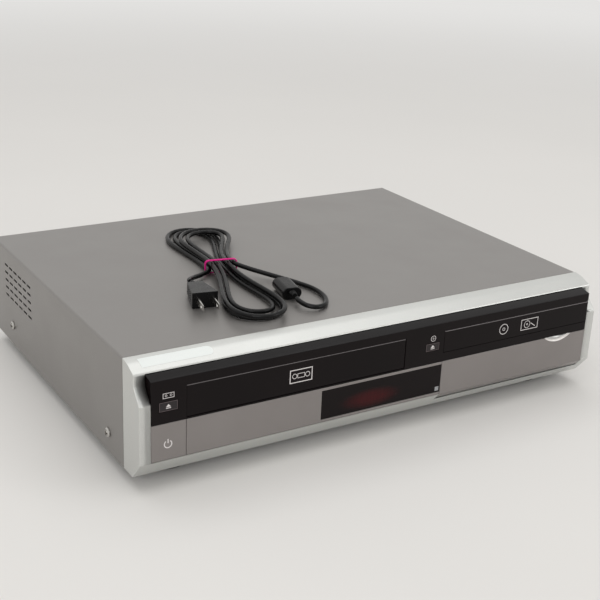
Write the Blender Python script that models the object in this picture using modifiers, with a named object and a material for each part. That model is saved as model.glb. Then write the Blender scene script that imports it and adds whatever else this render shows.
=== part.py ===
"""A DVD and VHS combo recorder, built as the real one comes apart: a folded steel cover over a steel
base, a moulded front with a swinging cassette flap, a sliding disc tray, a drop-down door over a row
of controls, a tape deck, a disc drive and a hard disk, and the folded mains lead that lies on its lid.

Metres, +Z up. Inside this file X runs to the viewer's right, Y runs back from the front face and Z
runs up from the floor. The empty named front_centre carries every piece and puts the middle of the
whole footprint at the world origin."""

import math

import bmesh
import bpy
from mathutils import Matrix, Vector

# Whole player
WIDTH = 0.430
HEIGHT = 0.0985
COVER_DEPTH = 0.3256
SOCKET_REACH = 0.0124
TOTAL_DEPTH = COVER_DEPTH + SOCKET_REACH
FLOOR_GAP = 0.011
SHEET = 0.001
FIT = 0.0003
OVERRUN = 0.002
BITE = 0.0006
MERGE = 0.00005
SIDE = WIDTH / 2

# Moulded front
BAND_BACK = 0.0288
CHEEK_SHARE = 0.020233
CHEEK = WIDTH * CHEEK_SHARE
POCKET_DEEP = 0.0125
BULKHEAD = 0.0025
SHELL = 0.0025
SILL_TOP_SHARE = 0.265990
SILL_TOP = HEIGHT * SILL_TOP_SHARE
CHAMFER_BACK = 0.0128
CAVITY_TOP_SHARE = 0.929949
CAVITY_TOP = HEIGHT * CAVITY_TOP_SHARE
BULKHEAD_BACK = POCKET_DEEP + BULKHEAD
# Side view above the straight cheek, as shares of the band's depth and of the height.
BROW_SHARES = ((1, 1), (0.7535, 0.9898), (0.5417, 0.9665), (0.3507, 0.9431), (0.3403, 0.9340),
               (0.3299, 0.8538), (0.2153, 0.8041), (0.0920, 0.7640), (0, 0.7310))
NOSE_SHARE = 0.9340

# Panels in the front's pocket
PANEL_WALL = 0.0022
PANEL_RIM = 0.0016
PANEL_RIGHT = SIDE - CHEEK - FIT
PANEL_LEFT = -PANEL_RIGHT
PANEL_DEEP = POCKET_DEEP - FIT
SPLIT_SHARE = 0.563452
SPLIT = HEIGHT * SPLIT_SHARE
LOWER_FOOT = SILL_TOP + FIT
LOWER_TOP = SPLIT - FIT / 2
UPPER_FOOT = SPLIT + FIT / 2
UPPER_FACE_TOP_SHARE = 0.908629
UPPER_FACE_TOP = HEIGHT * UPPER_FACE_TOP_SHARE
UPPER_CROWN_SHARE = 0.928934
UPPER_CROWN = HEIGHT * UPPER_CROWN_SHARE
CROWN_BACK = 0.0095

# Cassette flap and its pivot
COLUMN_WIDE_SHARE = 0.063953
COLUMN_WIDE = WIDTH * COLUMN_WIDE_SHARE
FLAP_WIDE_SHARE = 0.441163
FLAP_WIDE = WIDTH * FLAP_WIDE_SHARE
FLAP_LEFT = PANEL_LEFT + COLUMN_WIDE + FIT
FLAP_RIGHT = FLAP_LEFT + FLAP_WIDE
FLAP_LOW_SHARE = 0.579695
FLAP_LOW = HEIGHT * FLAP_LOW_SHARE
FLAP_TALL_SHARE = 0.253807
FLAP_TALL = HEIGHT * FLAP_TALL_SHARE
FLAP_TOP = FLAP_LOW + FLAP_TALL
FLAP_SINK = 0.0004
FLAP_THICK = 0.0018
FLAP_CLEAR = 0.0005
FLAP_PIVOT_BACK = 0.0044
FLAP_PIVOT_UP = 0.0038
FLAP_PIVOT_Z = FLAP_TOP + FLAP_PIVOT_UP
FLAP_ARM = 0.0020
FLAP_ARM_TOP = 0.0010
FLAP_ARM_DROP = 0.0040
FLAP_ARM_DEEP = 0.0032
FLAP_PIN = 0.0009
FLAP_PIN_LONG = 0.0030
LUG_THICK = 0.0020
LUG_DROP = 0.0030
LUG_DEEP = 0.0072
SWING_ROOM = 0.0023

# Disc tray and its front
TRAY_FRONT_WIDE_SHARE = 0.363023
TRAY_FRONT_WIDE = WIDTH * TRAY_FRONT_WIDE_SHARE
TRAY_FRONT_LEFT = PANEL_RIGHT - TRAY_FRONT_WIDE
TRAY_FRONT_LOW_SHARE = 0.643655
TRAY_FRONT_LOW = HEIGHT * TRAY_FRONT_LOW_SHARE
TRAY_FRONT_TALL_SHARE = 0.188832
TRAY_FRONT_TALL = HEIGHT * TRAY_FRONT_TALL_SHARE
TRAY_FRONT_TOP = TRAY_FRONT_LOW + TRAY_FRONT_TALL
TRAY_FRONT_DEEP = 0.0112
TRAY_WIDE_SHARE = 0.311628
TRAY_WIDE = WIDTH * TRAY_WIDE_SHARE
TRAY_LONG_SHARE = 0.583538
TRAY_LONG = COVER_DEPTH * TRAY_LONG_SHARE
TRAY_THICK = 0.0050
TRAY_X_SHARE = 0.297674
TRAY_X = WIDTH * TRAY_X_SHARE
TRAY_Z = TRAY_FRONT_LOW + PANEL_RIM + FIT
TRAY_Y = PANEL_WALL + FIT
DISC_SHARE = 0.447761
DISC_RADIUS = TRAY_WIDE * DISC_SHARE
DISC_ROOM = 0.00075
DISC_Y_SHARE = 0.270270
DISC_Y = COVER_DEPTH * DISC_Y_SHARE
DISC_SINK = 0.0020
SMALL_DISC_SHARE = 0.68
SMALL_DISC_RADIUS = DISC_RADIUS * SMALL_DISC_SHARE
SMALL_DISC_SINK = 0.0032
SPINDLE_SLOT_SHARE = 0.145522
SPINDLE_SLOT = TRAY_WIDE * SPINDLE_SLOT_SHARE
RACK_WIDE = 0.0035
RACK_DROP = 0.0016
RACK_INSET = 0.0035
TRAY_MOUTH_SIDE = 0.003
TRAY_MOUTH_LOW = 0.0012
TRAY_MOUTH_TALL_SHARE = 0.160406
TRAY_MOUTH_TALL = HEIGHT * TRAY_MOUTH_TALL_SHARE

# Push buttons of the upper and lower panels
EJECT_WIDE_SHARE = 0.033023
EJECT_WIDE = WIDTH * EJECT_WIDE_SHARE
EJECT_TALL_SHARE = 0.073096
EJECT_TALL = HEIGHT * EJECT_TALL_SHARE
EJECT_X_SHARE = -0.447907
EJECT_X = WIDTH * EJECT_X_SHARE
EJECT_Z_SHARE = 0.697462
EJECT_Z = HEIGHT * EJECT_Z_SHARE
OPEN_WIDE_SHARE = 0.030233
OPEN_WIDE = WIDTH * OPEN_WIDE_SHARE
OPEN_TALL_SHARE = 0.064975
OPEN_TALL = HEIGHT * OPEN_TALL_SHARE
OPEN_X_SHARE = 0.089535
OPEN_X = WIDTH * OPEN_X_SHARE
OPEN_Z_SHARE = 0.712690
OPEN_Z = HEIGHT * OPEN_Z_SHARE
STEM = 0.0050
STEM_END = 0.0160
CAP_DEEP = 0.0030
POWER_CAP_DEEP = 0.0095
POWER_RIGHT = FLAP_LEFT - 2 * FIT

# Display window and tube
WINDOW_LEFT_SHARE = -0.150233
WINDOW_LEFT = WIDTH * WINDOW_LEFT_SHARE
WINDOW_LOW_SHARE = 0.294416
WINDOW_LOW = HEIGHT * WINDOW_LOW_SHARE
WINDOW_TALL_SHARE = 0.242640
WINDOW_TALL = HEIGHT * WINDOW_TALL_SHARE
WINDOW_SINK = 0.0001
WINDOW_THICK = 0.0020
TUBE_LEFT_SHARE = -0.111628
TUBE_LEFT = WIDTH * TUBE_LEFT_SHARE
TUBE_WIDE_SHARE = 0.134884
TUBE_WIDE = WIDTH * TUBE_WIDE_SHARE
TUBE_LOW_SHARE = 0.292386
TUBE_LOW = HEIGHT * TUBE_LOW_SHARE
TUBE_TALL_SHARE = 0.177665
TUBE_TALL = HEIGHT * TUBE_TALL_SHARE
TUBE_FRONT = 0.0085
TUBE_EDGE = 0.0008
TUBE_ROOM = 0.0012

# Drop-down door over the controls
DOOR_WIDE_SHARE = 0.363721
DOOR_WIDE = WIDTH * DOOR_WIDE_SHARE
DOOR_LEFT = PANEL_RIGHT - DOOR_WIDE
DOOR_WALL = 0.0021
DOOR_LIP_Y = 0.0038
DOOR_LIP_Z_SHARE = 0.220305
DOOR_LIP_Z = HEIGHT * DOOR_LIP_Z_SHARE
LIP_INNER_Y = 0.0053
LIP_INNER_Z_SHARE = 0.234518
LIP_INNER_Z = HEIGHT * LIP_INNER_Z_SHARE
HINGE_Y = 0.0055
HINGE_Z_SHARE = 0.243655
HINGE_Z = HEIGHT * HINGE_Z_SHARE
HINGE_BOSS = 0.0018
HINGE_PIN = 0.0009
HINGE_PIN_LONG = 0.0022
HINGE_ARM = 0.0020
HINGE_ARM_LOW_SHARE = 0.255838
HINGE_ARM_LOW = HEIGHT * HINGE_ARM_LOW_SHARE
HINGE_ARM_TALL_SHARE = 0.050761
HINGE_ARM_TALL = HEIGHT * HINGE_ARM_TALL_SHARE
HINGE_ARM_DEEP = 0.0052
HINGE_RECESS_LOW_SHARE = 0.198985
HINGE_RECESS_LOW = HEIGHT * HINGE_RECESS_LOW_SHARE
HINGE_RECESS_DEEP = 0.0096
SCOOP_X_SHARE = 0.405814
SCOOP_X = WIDTH * SCOOP_X_SHARE
SCOOP_HALF = 0.0145
SCOOP_DROP = 0.0055
SCOOP_DEEP = 0.0012

# Controls behind the door
SUBPANEL_THICK = 0.0025
SUBPANEL_SIDE = 0.0026
KEY_WIDE_SHARE = 0.020930
KEY_WIDE = WIDTH * KEY_WIDE_SHARE
KEY_TALL_SHARE = 0.046701
KEY_TALL = HEIGHT * KEY_TALL_SHARE
KEY_FRONT = 0.0080
KEY_FIRST_X_SHARE = 0.148837
KEY_FIRST_X = WIDTH * KEY_FIRST_X_SHARE
KEY_PITCH_SHARE = 0.037209
KEY_PITCH = WIDTH * KEY_PITCH_SHARE
KEY_HIGH_Z_SHARE = 0.482234
KEY_HIGH_Z = HEIGHT * KEY_HIGH_Z_SHARE
KEY_LOW_Z_SHARE = 0.350254
KEY_LOW_Z = HEIGHT * KEY_LOW_Z_SHARE
KEY_ROUND = 0.0006
JACK_FIRST_X_SHARE = 0.288372
JACK_FIRST_X = WIDTH * JACK_FIRST_X_SHARE
JACK_PITCH_SHARE = 0.033721
JACK_PITCH = WIDTH * JACK_PITCH_SHARE
JACK_Z_SHARE = 0.370558
JACK_Z = HEIGHT * JACK_Z_SHARE
JACK_RING = 0.0044
JACK_BORE = 0.0017
JACK_FRONT = 0.0080
JACK_BLOCK_SIDE = 0.0070
JACK_BLOCK_TALL_SHARE = 0.142132
JACK_BLOCK_TALL = HEIGHT * JACK_BLOCK_TALL_SHARE
JACK_COUNT = 3
CARD_X_SHARE = 0.412791
CARD_X = WIDTH * CARD_X_SHARE
CARD_Z_SHARE = 0.456853
CARD_Z = HEIGHT * CARD_Z_SHARE
CARD_BODY_WIDE_SHARE = 0.065116
CARD_BODY_WIDE = WIDTH * CARD_BODY_WIDE_SHARE
CARD_BODY_TALL = 0.0046
CARD_BODY_LONG = 0.0310
CARD_WIDE_SHARE = 0.056744
CARD_WIDE = WIDTH * CARD_WIDE_SHARE
CARD_THICK = 0.0024
CARD_DEEP = 0.0220

# Circuit boards
BOARD = 0.0016
FRONT_BOARD_Y = 0.0172
FRONT_BOARD_LOW_SHARE = 0.162437
FRONT_BOARD_LOW = HEIGHT * FRONT_BOARD_LOW_SHARE
FRONT_BOARD_TOP_SHARE = 0.548223
FRONT_BOARD_TOP = HEIGHT * FRONT_BOARD_TOP_SHARE
FRONT_BOARD_SIDE = 0.0080
TAB_TOP_SHARE = 0.791878
TAB_TOP = HEIGHT * TAB_TOP_SHARE
LEFT_TAB_WIDE_SHARE = 0.053488
LEFT_TAB_WIDE = WIDTH * LEFT_TAB_WIDE_SHARE
MIDDLE_TAB_LEFT_SHARE = 0.041860
MIDDLE_TAB_LEFT = WIDTH * MIDDLE_TAB_LEFT_SHARE
MIDDLE_TAB_WIDE_SHARE = 0.067442
MIDDLE_TAB_WIDE = WIDTH * MIDDLE_TAB_WIDE_SHARE
BOSS = 0.0030
BOARD_Z_SHARE = 0.223350
BOARD_Z = HEIGHT * BOARD_Z_SHARE
MAIN_BOARD_RIGHT_SHARE = 0.472093
MAIN_BOARD_Y_SHARE = 0.706388
MAIN_BOARD_Y = COVER_DEPTH * MAIN_BOARD_Y_SHARE
MAIN_BOARD_LONG_SHARE = 0.261057
MAIN_BOARD_LONG = COVER_DEPTH * MAIN_BOARD_LONG_SHARE
POWER_BOARD_LEFT_SHARE = -0.479070
POWER_BOARD_LEFT = WIDTH * POWER_BOARD_LEFT_SHARE
POWER_BOARD_WIDE_SHARE = 0.260465
POWER_BOARD_WIDE = WIDTH * POWER_BOARD_WIDE_SHARE
BOARDS_APART = 0.0090
MAIN_BOARD_LEFT = POWER_BOARD_LEFT + POWER_BOARD_WIDE + BOARDS_APART
MAIN_BOARD_WIDE = WIDTH * MAIN_BOARD_RIGHT_SHARE - MAIN_BOARD_LEFT
POWER_BOARD_Y_SHARE = 0.706388
POWER_BOARD_Y = COVER_DEPTH * POWER_BOARD_Y_SHARE
POWER_BOARD_LONG_SHARE = 0.221130
POWER_BOARD_LONG = COVER_DEPTH * POWER_BOARD_LONG_SHARE
STANDOFF = 0.0040
STANDOFF_INSET = 0.0080
COMPONENT_TALL_SHARE = 0.304569
COMPONENT_TALL = HEIGHT * COMPONENT_TALL_SHARE
# Components as shares of their board: left edge, front edge, width, length, and of the tallest's height.
MAIN_PART_SHARES = ((0.28, 0.12, 0.12, 0.34, 0.10), (0.46, 0.14, 0.10, 0.30, 0.08),
                    (0.62, 0.10, 0.14, 0.36, 0.55),
                    (0.82, 0.14, 0.05, 0.16, 0.50), (0.90, 0.14, 0.04, 0.14, 0.40),
                    (0.10, 0.10, 0.10, 0.30, 0.08))
POWER_PART_SHARES = ((0.36, 0.30, 0.34, 0.46, 0.90), (0.76, 0.34, 0.18, 0.28, 1.00),
                     (0.78, 0.70, 0.10, 0.16, 0.60),
                     (0.10, 0.12, 0.16, 0.24, 0.55), (0.36, 0.08, 0.40, 0.05, 0.85))

# Base, feet, rear panel and screws
BASE_SIDE_GAP = SHEET + FIT
FLANGE_TALL_SHARE = 0.274112
FLANGE_TALL = HEIGHT * FLANGE_TALL_SHARE
BASE_FRONT = BULKHEAD_BACK + FIT
BASE_SHOULDER = BAND_BACK + FIT
COVER_LIP = 0.0080
COVER_ROUND = 0.0020
REAR_Y = COVER_DEPTH - SHEET - FIT - SHEET
REAR_TOP = HEIGHT - COVER_ROUND - FIT
BASE_BACK = REAR_Y - FIT
FOOT_RADIUS = 0.0210
FOOT_WAIST = 0.0185
FOOT_HOLE = 0.0080
FOOT_HOLE_DEEP = 0.0030
FOOT_X_SHARE = 0.406977
FOOT_X = WIDTH * FOOT_X_SHARE
FOOT_FRONT_Y_SHARE = 0.147420
FOOT_FRONT_Y = COVER_DEPTH * FOOT_FRONT_Y_SHARE
FOOT_REAR_Y_SHARE = 0.859951
FOOT_REAR_Y = COVER_DEPTH * FOOT_REAR_Y_SHARE
SCREW_HEAD = 0.0038
SCREW_HEAD_TALL = 0.0016
SCREW_CROWN = 0.0022
SCREW_SHANK = 0.0015
SCREW_ROOM = 0.0003
SCREW_LONG = 0.0070
SCREW_FRONT_SHARE = 0.173526
SCREW_REAR_SHARE = 0.852887
SCREW_FRONT_UP_SHARE = 0.275127
SCREW_FRONT_UP = HEIGHT * SCREW_FRONT_UP_SHARE
SCREW_REAR_UP_SHARE = 0.305584
SCREW_REAR_UP = HEIGHT * SCREW_REAR_UP_SHARE
SIDE_SCREW_FRONT = (COVER_DEPTH * SCREW_FRONT_SHARE, SCREW_FRONT_UP)
SIDE_SCREW_REAR = (COVER_DEPTH * SCREW_REAR_SHARE, SCREW_REAR_UP)
REAR_SCREW_X_SHARE = 0.360465
REAR_SCREW_X = WIDTH * REAR_SCREW_X_SHARE
REAR_SCREW_DROP = 0.0042
VENT_FIRST_Y_SHARE = 0.694103
VENT_FIRST_Y = COVER_DEPTH * VENT_FIRST_Y_SHARE
VENT_PITCH_SHARE = 0.036855
VENT_PITCH = COVER_DEPTH * VENT_PITCH_SHARE
VENT_WIDE_SHARE = 0.027641
VENT_WIDE = COVER_DEPTH * VENT_WIDE_SHARE
VENT_TALL_SHARE = 0.020305
VENT_TALL = HEIGHT * VENT_TALL_SHARE
VENT_COLUMNS = 6
VENT_ROWS = 5
VENT_LOW_Z_SHARE = 0.548223
VENT_LOW_Z = HEIGHT * VENT_LOW_Z_SHARE
VENT_STEP_Z_SHARE = 0.071066
VENT_STEP_Z = HEIGHT * VENT_STEP_Z_SHARE

# Tape deck
DECK_FRONT_SHARE = 0.073710
DECK_FRONT = COVER_DEPTH * DECK_FRONT_SHARE
DECK_BACK_SHARE = 0.681818
DECK_BACK = COVER_DEPTH * DECK_BACK_SHARE
DECK_Z_SHARE = 0.335025
DECK_Z = HEIGHT * DECK_Z_SHARE
DECK_THICK = 0.0012
BAY_X = FLAP_LEFT + FLAP_WIDE / 2
DECK_LAP = 0.0077
DECK_LEFT = FLAP_LEFT - DECK_LAP
DECK_RIGHT = FLAP_RIGHT + DECK_LAP
BAY_EASE = 0.0005
BAY_WIDE = FLAP_WIDE - BAY_EASE
BAY_WALL = 0.0015
BAY_FRONT_SHARE = 0.113636
BAY_FRONT = COVER_DEPTH * BAY_FRONT_SHARE
BAY_LONG_SHARE = 0.319410
BAY_LONG = COVER_DEPTH * BAY_LONG_SHARE
BAY_FLOOR = 0.0010
BAY_FLOOR_TOP = FLAP_LOW
BAY_TALL_SHARE = 0.259898
BAY_TALL = HEIGHT * BAY_TALL_SHARE
BAY_BRIDGE_Y_SHARE = 0.276413
BAY_BRIDGE_Y = COVER_DEPTH * BAY_BRIDGE_Y_SHARE
BAY_BRIDGE_LONG_SHARE = 0.110565
BAY_BRIDGE_LONG = COVER_DEPTH * BAY_BRIDGE_LONG_SHARE
BRACKET = 0.0012
BRACKET_GAP = 0.0022
BRACKET_TOP_SHARE = 0.913706
BRACKET_TOP = HEIGHT * BRACKET_TOP_SHARE
GUIDE_PIN = 0.0015
GUIDE_PIN_Z_SHARE = 0.670051
GUIDE_PIN_Z = HEIGHT * GUIDE_PIN_Z_SHARE
GUIDE_FRONT_Y_SHARE = 0.159705
GUIDE_FRONT_Y = COVER_DEPTH * GUIDE_FRONT_Y_SHARE
GUIDE_REAR_Y_SHARE = 0.386978
GUIDE_REAR_Y = COVER_DEPTH * GUIDE_REAR_Y_SHARE
BAY_DROP_SHARE = 0.162437
BAY_DROP = HEIGHT * BAY_DROP_SHARE
REEL_HALF_SPREAD_SHARE = 0.106977
REEL_HALF_SPREAD = WIDTH * REEL_HALF_SPREAD_SHARE
REEL_Y_SHARE = 0.270270
REEL_Y = COVER_DEPTH * REEL_Y_SHARE
REEL_TABLE = 0.0210
REEL_TABLE_Z_SHARE = 0.365482
REEL_TABLE_Z = HEIGHT * REEL_TABLE_Z_SHARE
REEL_TABLE_TALL = 0.0018
REEL_HUB = 0.0055
REEL_HUB_TOP_SHARE = 0.507614
REEL_HUB_TOP = HEIGHT * REEL_HUB_TOP_SHARE
REEL_BORE = 0.0018
REEL_FLOOR_HOLE = 0.0140
DRUM_X = BAY_X
DRUM_Y_SHARE = 0.552826
DRUM_Y = COVER_DEPTH * DRUM_Y_SHARE
DRUM_RADIUS = 0.0310
DRUM_TILT = math.radians(5.9)
DRUM_LOW_Z_SHARE = 0.387817
DRUM_LOW_Z = HEIGHT * DRUM_LOW_Z_SHARE
DRUM_SPLIT_Z_SHARE = 0.527919
DRUM_SPLIT_Z = HEIGHT * DRUM_SPLIT_Z_SHARE
DRUM_TOP_Z_SHARE = 0.690355
DRUM_TOP_Z = HEIGHT * DRUM_TOP_Z_SHARE
DRUM_GROOVE = 0.0012
DRUM_SHAFT = 0.0030
DRUM_SHAFT_ROOM = 0.0003
DRUM_FOOT_HALF = 0.0340
DRUM_FOOT_TALL = 0.0060
CAPSTAN_X_SHARE = -0.051163
CAPSTAN_X = WIDTH * CAPSTAN_X_SHARE
CAPSTAN_Y_SHARE = 0.515971
CAPSTAN_Y = COVER_DEPTH * CAPSTAN_Y_SHARE
FLYWHEEL = 0.0200
FLYWHEEL_Z_SHARE = 0.243655
FLYWHEEL_Z = HEIGHT * FLYWHEEL_Z_SHARE
FLYWHEEL_TALL_SHARE = 0.081218
FLYWHEEL_TALL = HEIGHT * FLYWHEEL_TALL_SHARE
CAPSTAN = 0.0014
CAPSTAN_TOP_SHARE = 0.629442
CAPSTAN_TOP = HEIGHT * CAPSTAN_TOP_SHARE

# Disc drive and hard disk
DRIVE_LEFT_SHARE = 0.123256
DRIVE_LEFT = WIDTH * DRIVE_LEFT_SHARE
DRIVE_RIGHT_SHARE = 0.472093
DRIVE_RIGHT = WIDTH * DRIVE_RIGHT_SHARE
DRIVE_FRONT_SHARE = 0.066032
DRIVE_FRONT = COVER_DEPTH * DRIVE_FRONT_SHARE
DRIVE_BACK_SHARE = 0.620393
DRIVE_BACK = COVER_DEPTH * DRIVE_BACK_SHARE
DRIVE_LOW_SHARE = 0.578680
DRIVE_LOW = HEIGHT * DRIVE_LOW_SHARE
DRIVE_TOP_SHARE = 0.862944
DRIVE_TOP = HEIGHT * DRIVE_TOP_SHARE
DRIVE_WALL = 0.0010
RUNNER = 0.0012
RUNNER_LAP = 0.0020
RUNNER_BACK_SHARE = 0.583538
RUNNER_BACK = COVER_DEPTH * RUNNER_BACK_SHARE
CLAMP_RADIUS = 0.0140
CLAMP_FLANGE = 0.0190
CLAMP_LOW_SHARE = 0.756345
CLAMP_LOW = HEIGHT * CLAMP_LOW_SHARE
CLAMP_FLANGE_TALL = 0.0014
TRAVERSE_SIDE_SHARE = 0.093023
TRAVERSE_SIDE = WIDTH * TRAVERSE_SIDE_SHARE
TRAVERSE_FRONT_SHARE = 0.190418
TRAVERSE_FRONT = COVER_DEPTH * TRAVERSE_FRONT_SHARE
TRAVERSE_BACK_SHARE = 0.528256
TRAVERSE_BACK = COVER_DEPTH * TRAVERSE_BACK_SHARE
TRAVERSE_THICK = 0.0012
TRAVERSE_HOLE_SIDE_SHARE = 0.069767
TRAVERSE_HOLE_SIDE = WIDTH * TRAVERSE_HOLE_SIDE_SHARE
TRAVERSE_HOLE_FRONT_SHARE = 0.313268
TRAVERSE_HOLE_FRONT = COVER_DEPTH * TRAVERSE_HOLE_FRONT_SHARE
TRAVERSE_HOLE_BACK_SHARE = 0.494472
TRAVERSE_HOLE_BACK = COVER_DEPTH * TRAVERSE_HOLE_BACK_SHARE
RAIL = 0.0012
RAIL_SIDE_SHARE = 0.065116
RAIL_SIDE = WIDTH * RAIL_SIDE_SHARE
RAIL_Z_SHARE = 0.631472
RAIL_Z = HEIGHT * RAIL_Z_SHARE
RAIL_BLOCK = 0.0040
RAIL_BLOCK_TALL = 0.0044
MOTOR_RADIUS = 0.0120
MOTOR_TOP_SHARE = 0.663959
MOTOR_TOP = HEIGHT * MOTOR_TOP_SHARE
TURNTABLE = 0.0150
TURNTABLE_TALL = 0.0022
HUB_RADIUS = 0.0073
HUB_TALL = 0.0024
SPINDLE_SHAFT = 0.0015
SPINDLE_FOOT_SHARE = 0.615228
SPINDLE_FOOT = HEIGHT * SPINDLE_FOOT_SHARE
PICKUP_HALF_WIDE_SHARE = 0.076744
PICKUP_HALF_WIDE = WIDTH * PICKUP_HALF_WIDE_SHARE
PICKUP_LONG_SHARE = 0.073710
PICKUP_LONG = COVER_DEPTH * PICKUP_LONG_SHARE
PICKUP_Y_SHARE = 0.331695
PICKUP_Y = COVER_DEPTH * PICKUP_Y_SHARE
PICKUP_LOW_SHARE = 0.607107
PICKUP_LOW = HEIGHT * PICKUP_LOW_SHARE
PICKUP_TOP_SHARE = 0.655838
PICKUP_TOP = HEIGHT * PICKUP_TOP_SHARE
PICKUP_BORE = RAIL + FIT
LENS = 0.0040
LENS_LEAD = 0.0090
LENS_TALL = 0.0012
PINION_RADIUS = 0.0080
PINION_TEETH = 16
PINION_TOOTH = 0.0012
PINION_BORE = 0.0015
PINION_Y_SHARE = 0.098280
PINION_Y = COVER_DEPTH * PINION_Y_SHARE
PINION_TALL = 0.0040
PINION_SEAT = 0.0030
HARD_DISK_LEFT_SHARE = 0.144186
HARD_DISK_LEFT = WIDTH * HARD_DISK_LEFT_SHARE
HARD_DISK_WIDE_SHARE = 0.236279
HARD_DISK_WIDE = WIDTH * HARD_DISK_WIDE_SHARE
HARD_DISK_Y_SHARE = 0.147420
HARD_DISK_Y = COVER_DEPTH * HARD_DISK_Y_SHARE
HARD_DISK_LONG_SHARE = 0.451474
HARD_DISK_LONG = COVER_DEPTH * HARD_DISK_LONG_SHARE
HARD_DISK_Z_SHARE = 0.284264
HARD_DISK_Z = HEIGHT * HARD_DISK_Z_SHARE
HARD_DISK_TALL_SHARE = 0.264975
HARD_DISK_TALL = HEIGHT * HARD_DISK_TALL_SHARE
HARD_DISK_STEP = 0.0030
LEG = 0.0070
LEG_INSET = 0.0020

# Fan, sockets and mains inlet at the rear
FAN_SHARE = 0.609137
FAN = HEIGHT * FAN_SHARE
FAN_THICK = 0.0150
FAN_X_SHARE = -0.046512
FAN_X = WIDTH * FAN_X_SHARE
FAN_Z_SHARE = 0.578680
FAN_Z = HEIGHT * FAN_Z_SHARE
FAN_BORE_SHARE = 0.466667
FAN_BORE = FAN * FAN_BORE_SHARE
FAN_HUB_SHARE = 0.200000
FAN_HUB = FAN * FAN_HUB_SHARE
FAN_BLADE_SHARE = 0.436667
FAN_BLADE = FAN * FAN_BLADE_SHARE
FAN_BLADES = 7
FAN_BLADE_THICK = 0.0010
FAN_BLADE_PITCH = math.radians(38)
FAN_SPOKE = 0.0030
FAN_PIN = 0.0015
GRILLE_BAR = 0.0020
GRILLE_SLOT = 0.0036
GRILLE_ROWS = 9
AERIAL_X_SHARE = 0.423256
AERIAL_X = WIDTH * AERIAL_X_SHARE
AERIAL_Z_SHARE = 0.588832
AERIAL_Z = HEIGHT * AERIAL_Z_SHARE
AERIAL_WIDE_SHARE = 0.060465
AERIAL_WIDE = WIDTH * AERIAL_WIDE_SHARE
AERIAL_TALL_SHARE = 0.304569
AERIAL_TALL = HEIGHT * AERIAL_TALL_SHARE
AERIAL_LONG = 0.0260
AERIAL_THREAD = 0.0047
AERIAL_PITCH_SHARE = 0.152284
AERIAL_PITCH = HEIGHT * AERIAL_PITCH_SHARE
AERIAL_PIN = 0.0012
SOCKETS_LEFT_SHARE = 0.081395
SOCKETS_LEFT = WIDTH * SOCKETS_LEFT_SHARE
SOCKETS_WIDE_SHARE = 0.260465
SOCKETS_WIDE = WIDTH * SOCKETS_WIDE_SHARE
SOCKETS_TALL_SHARE = 0.487310
SOCKETS_TALL = HEIGHT * SOCKETS_TALL_SHARE
SOCKETS_Z_SHARE = 0.248731
SOCKETS_Z = HEIGHT * SOCKETS_Z_SHARE
SOCKETS_LONG = 0.0160
SOCKET_COLUMNS = 5
SOCKET_ROWS = 3
SOCKET_PITCH_X_SHARE = 0.039535
SOCKET_PITCH_X = WIDTH * SOCKET_PITCH_X_SHARE
SOCKET_PITCH_Z_SHARE = 0.147208
SOCKET_PITCH_Z = HEIGHT * SOCKET_PITCH_Z_SHARE
SOCKET_RING = 0.0043
SOCKET_STAND = 0.0070
PORT_WIDE = 0.0150
PORT_TALL = 0.0050
PORT_DEEP = 0.0060
INLET_X_SHARE = -0.418605
INLET_X = WIDTH * INLET_X_SHARE
INLET_Z_SHARE = 0.426396
INLET_Z = HEIGHT * INLET_Z_SHARE
INLET_WIDE = 0.0250
INLET_TALL = 0.0160
INLET_LONG = 0.0180
INLET_FLANGE = 0.0030
INLET_FLANGE_THICK = 0.0020
INLET_MOUTH_HALF = 0.0043
INLET_MOUTH_ROUND = 0.0044
INLET_DEEP = 0.0125
INLET_PIN = 0.0012
INLET_PIN_SHORT = 0.0030

# Mains lead, folded into a hank on the lid and tied at its waist
LEAD = 0.0040
LEAD_TURNS = 3.5
LEAD_TURN_POINTS = 24
LEAD_PITCH = 0.0047
HANK_X_SHARE = -0.166279
HANK_X = WIDTH * HANK_X_SHARE
HANK_Y_SHARE = 0.479115
HANK_Y = COVER_DEPTH * HANK_Y_SHARE
HANK_TURN = math.radians(10.5)
HANK_REACH = 0.1040
HANK_BROAD = 0.0190
HANK_LEAN_SHARE = 0.10
LOOP_SPREAD_SHARE = 0.5
FRONT_STRAY = (-0.0090, 0.0010)
REAR_STRAY = (-0.0170, 0.0100)
TIE_WIRE = 0.0012
TIE_GAP = 0.0005
TIE_RISE_LONG = 0.0220
PLUG_LONG = 0.0300
PLUG_WIDE = 0.0210
PLUG_TALL = 0.0130
PLUG_NECK = 0.0090
PLUG_BLADE_LONG = 0.0170
PLUG_BLADE_TALL = 0.0063
PLUG_BLADE_THICK = 0.0015
PLUG_BLADE_SPREAD = 0.0127
COUPLER_LONG = 0.0260
COUPLER_WIDE = 0.0165
COUPLER_TALL = 0.0100
COUPLER_HOLE = 0.0013
COUPLER_HOLE_SPREAD = 0.0086
COUPLER_HOLE_DEEP = 0.0100
COUPLER_NECK = 0.0060
NECK_WALL = 0.0012
EDGE_ROUND = 0.0020

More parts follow.
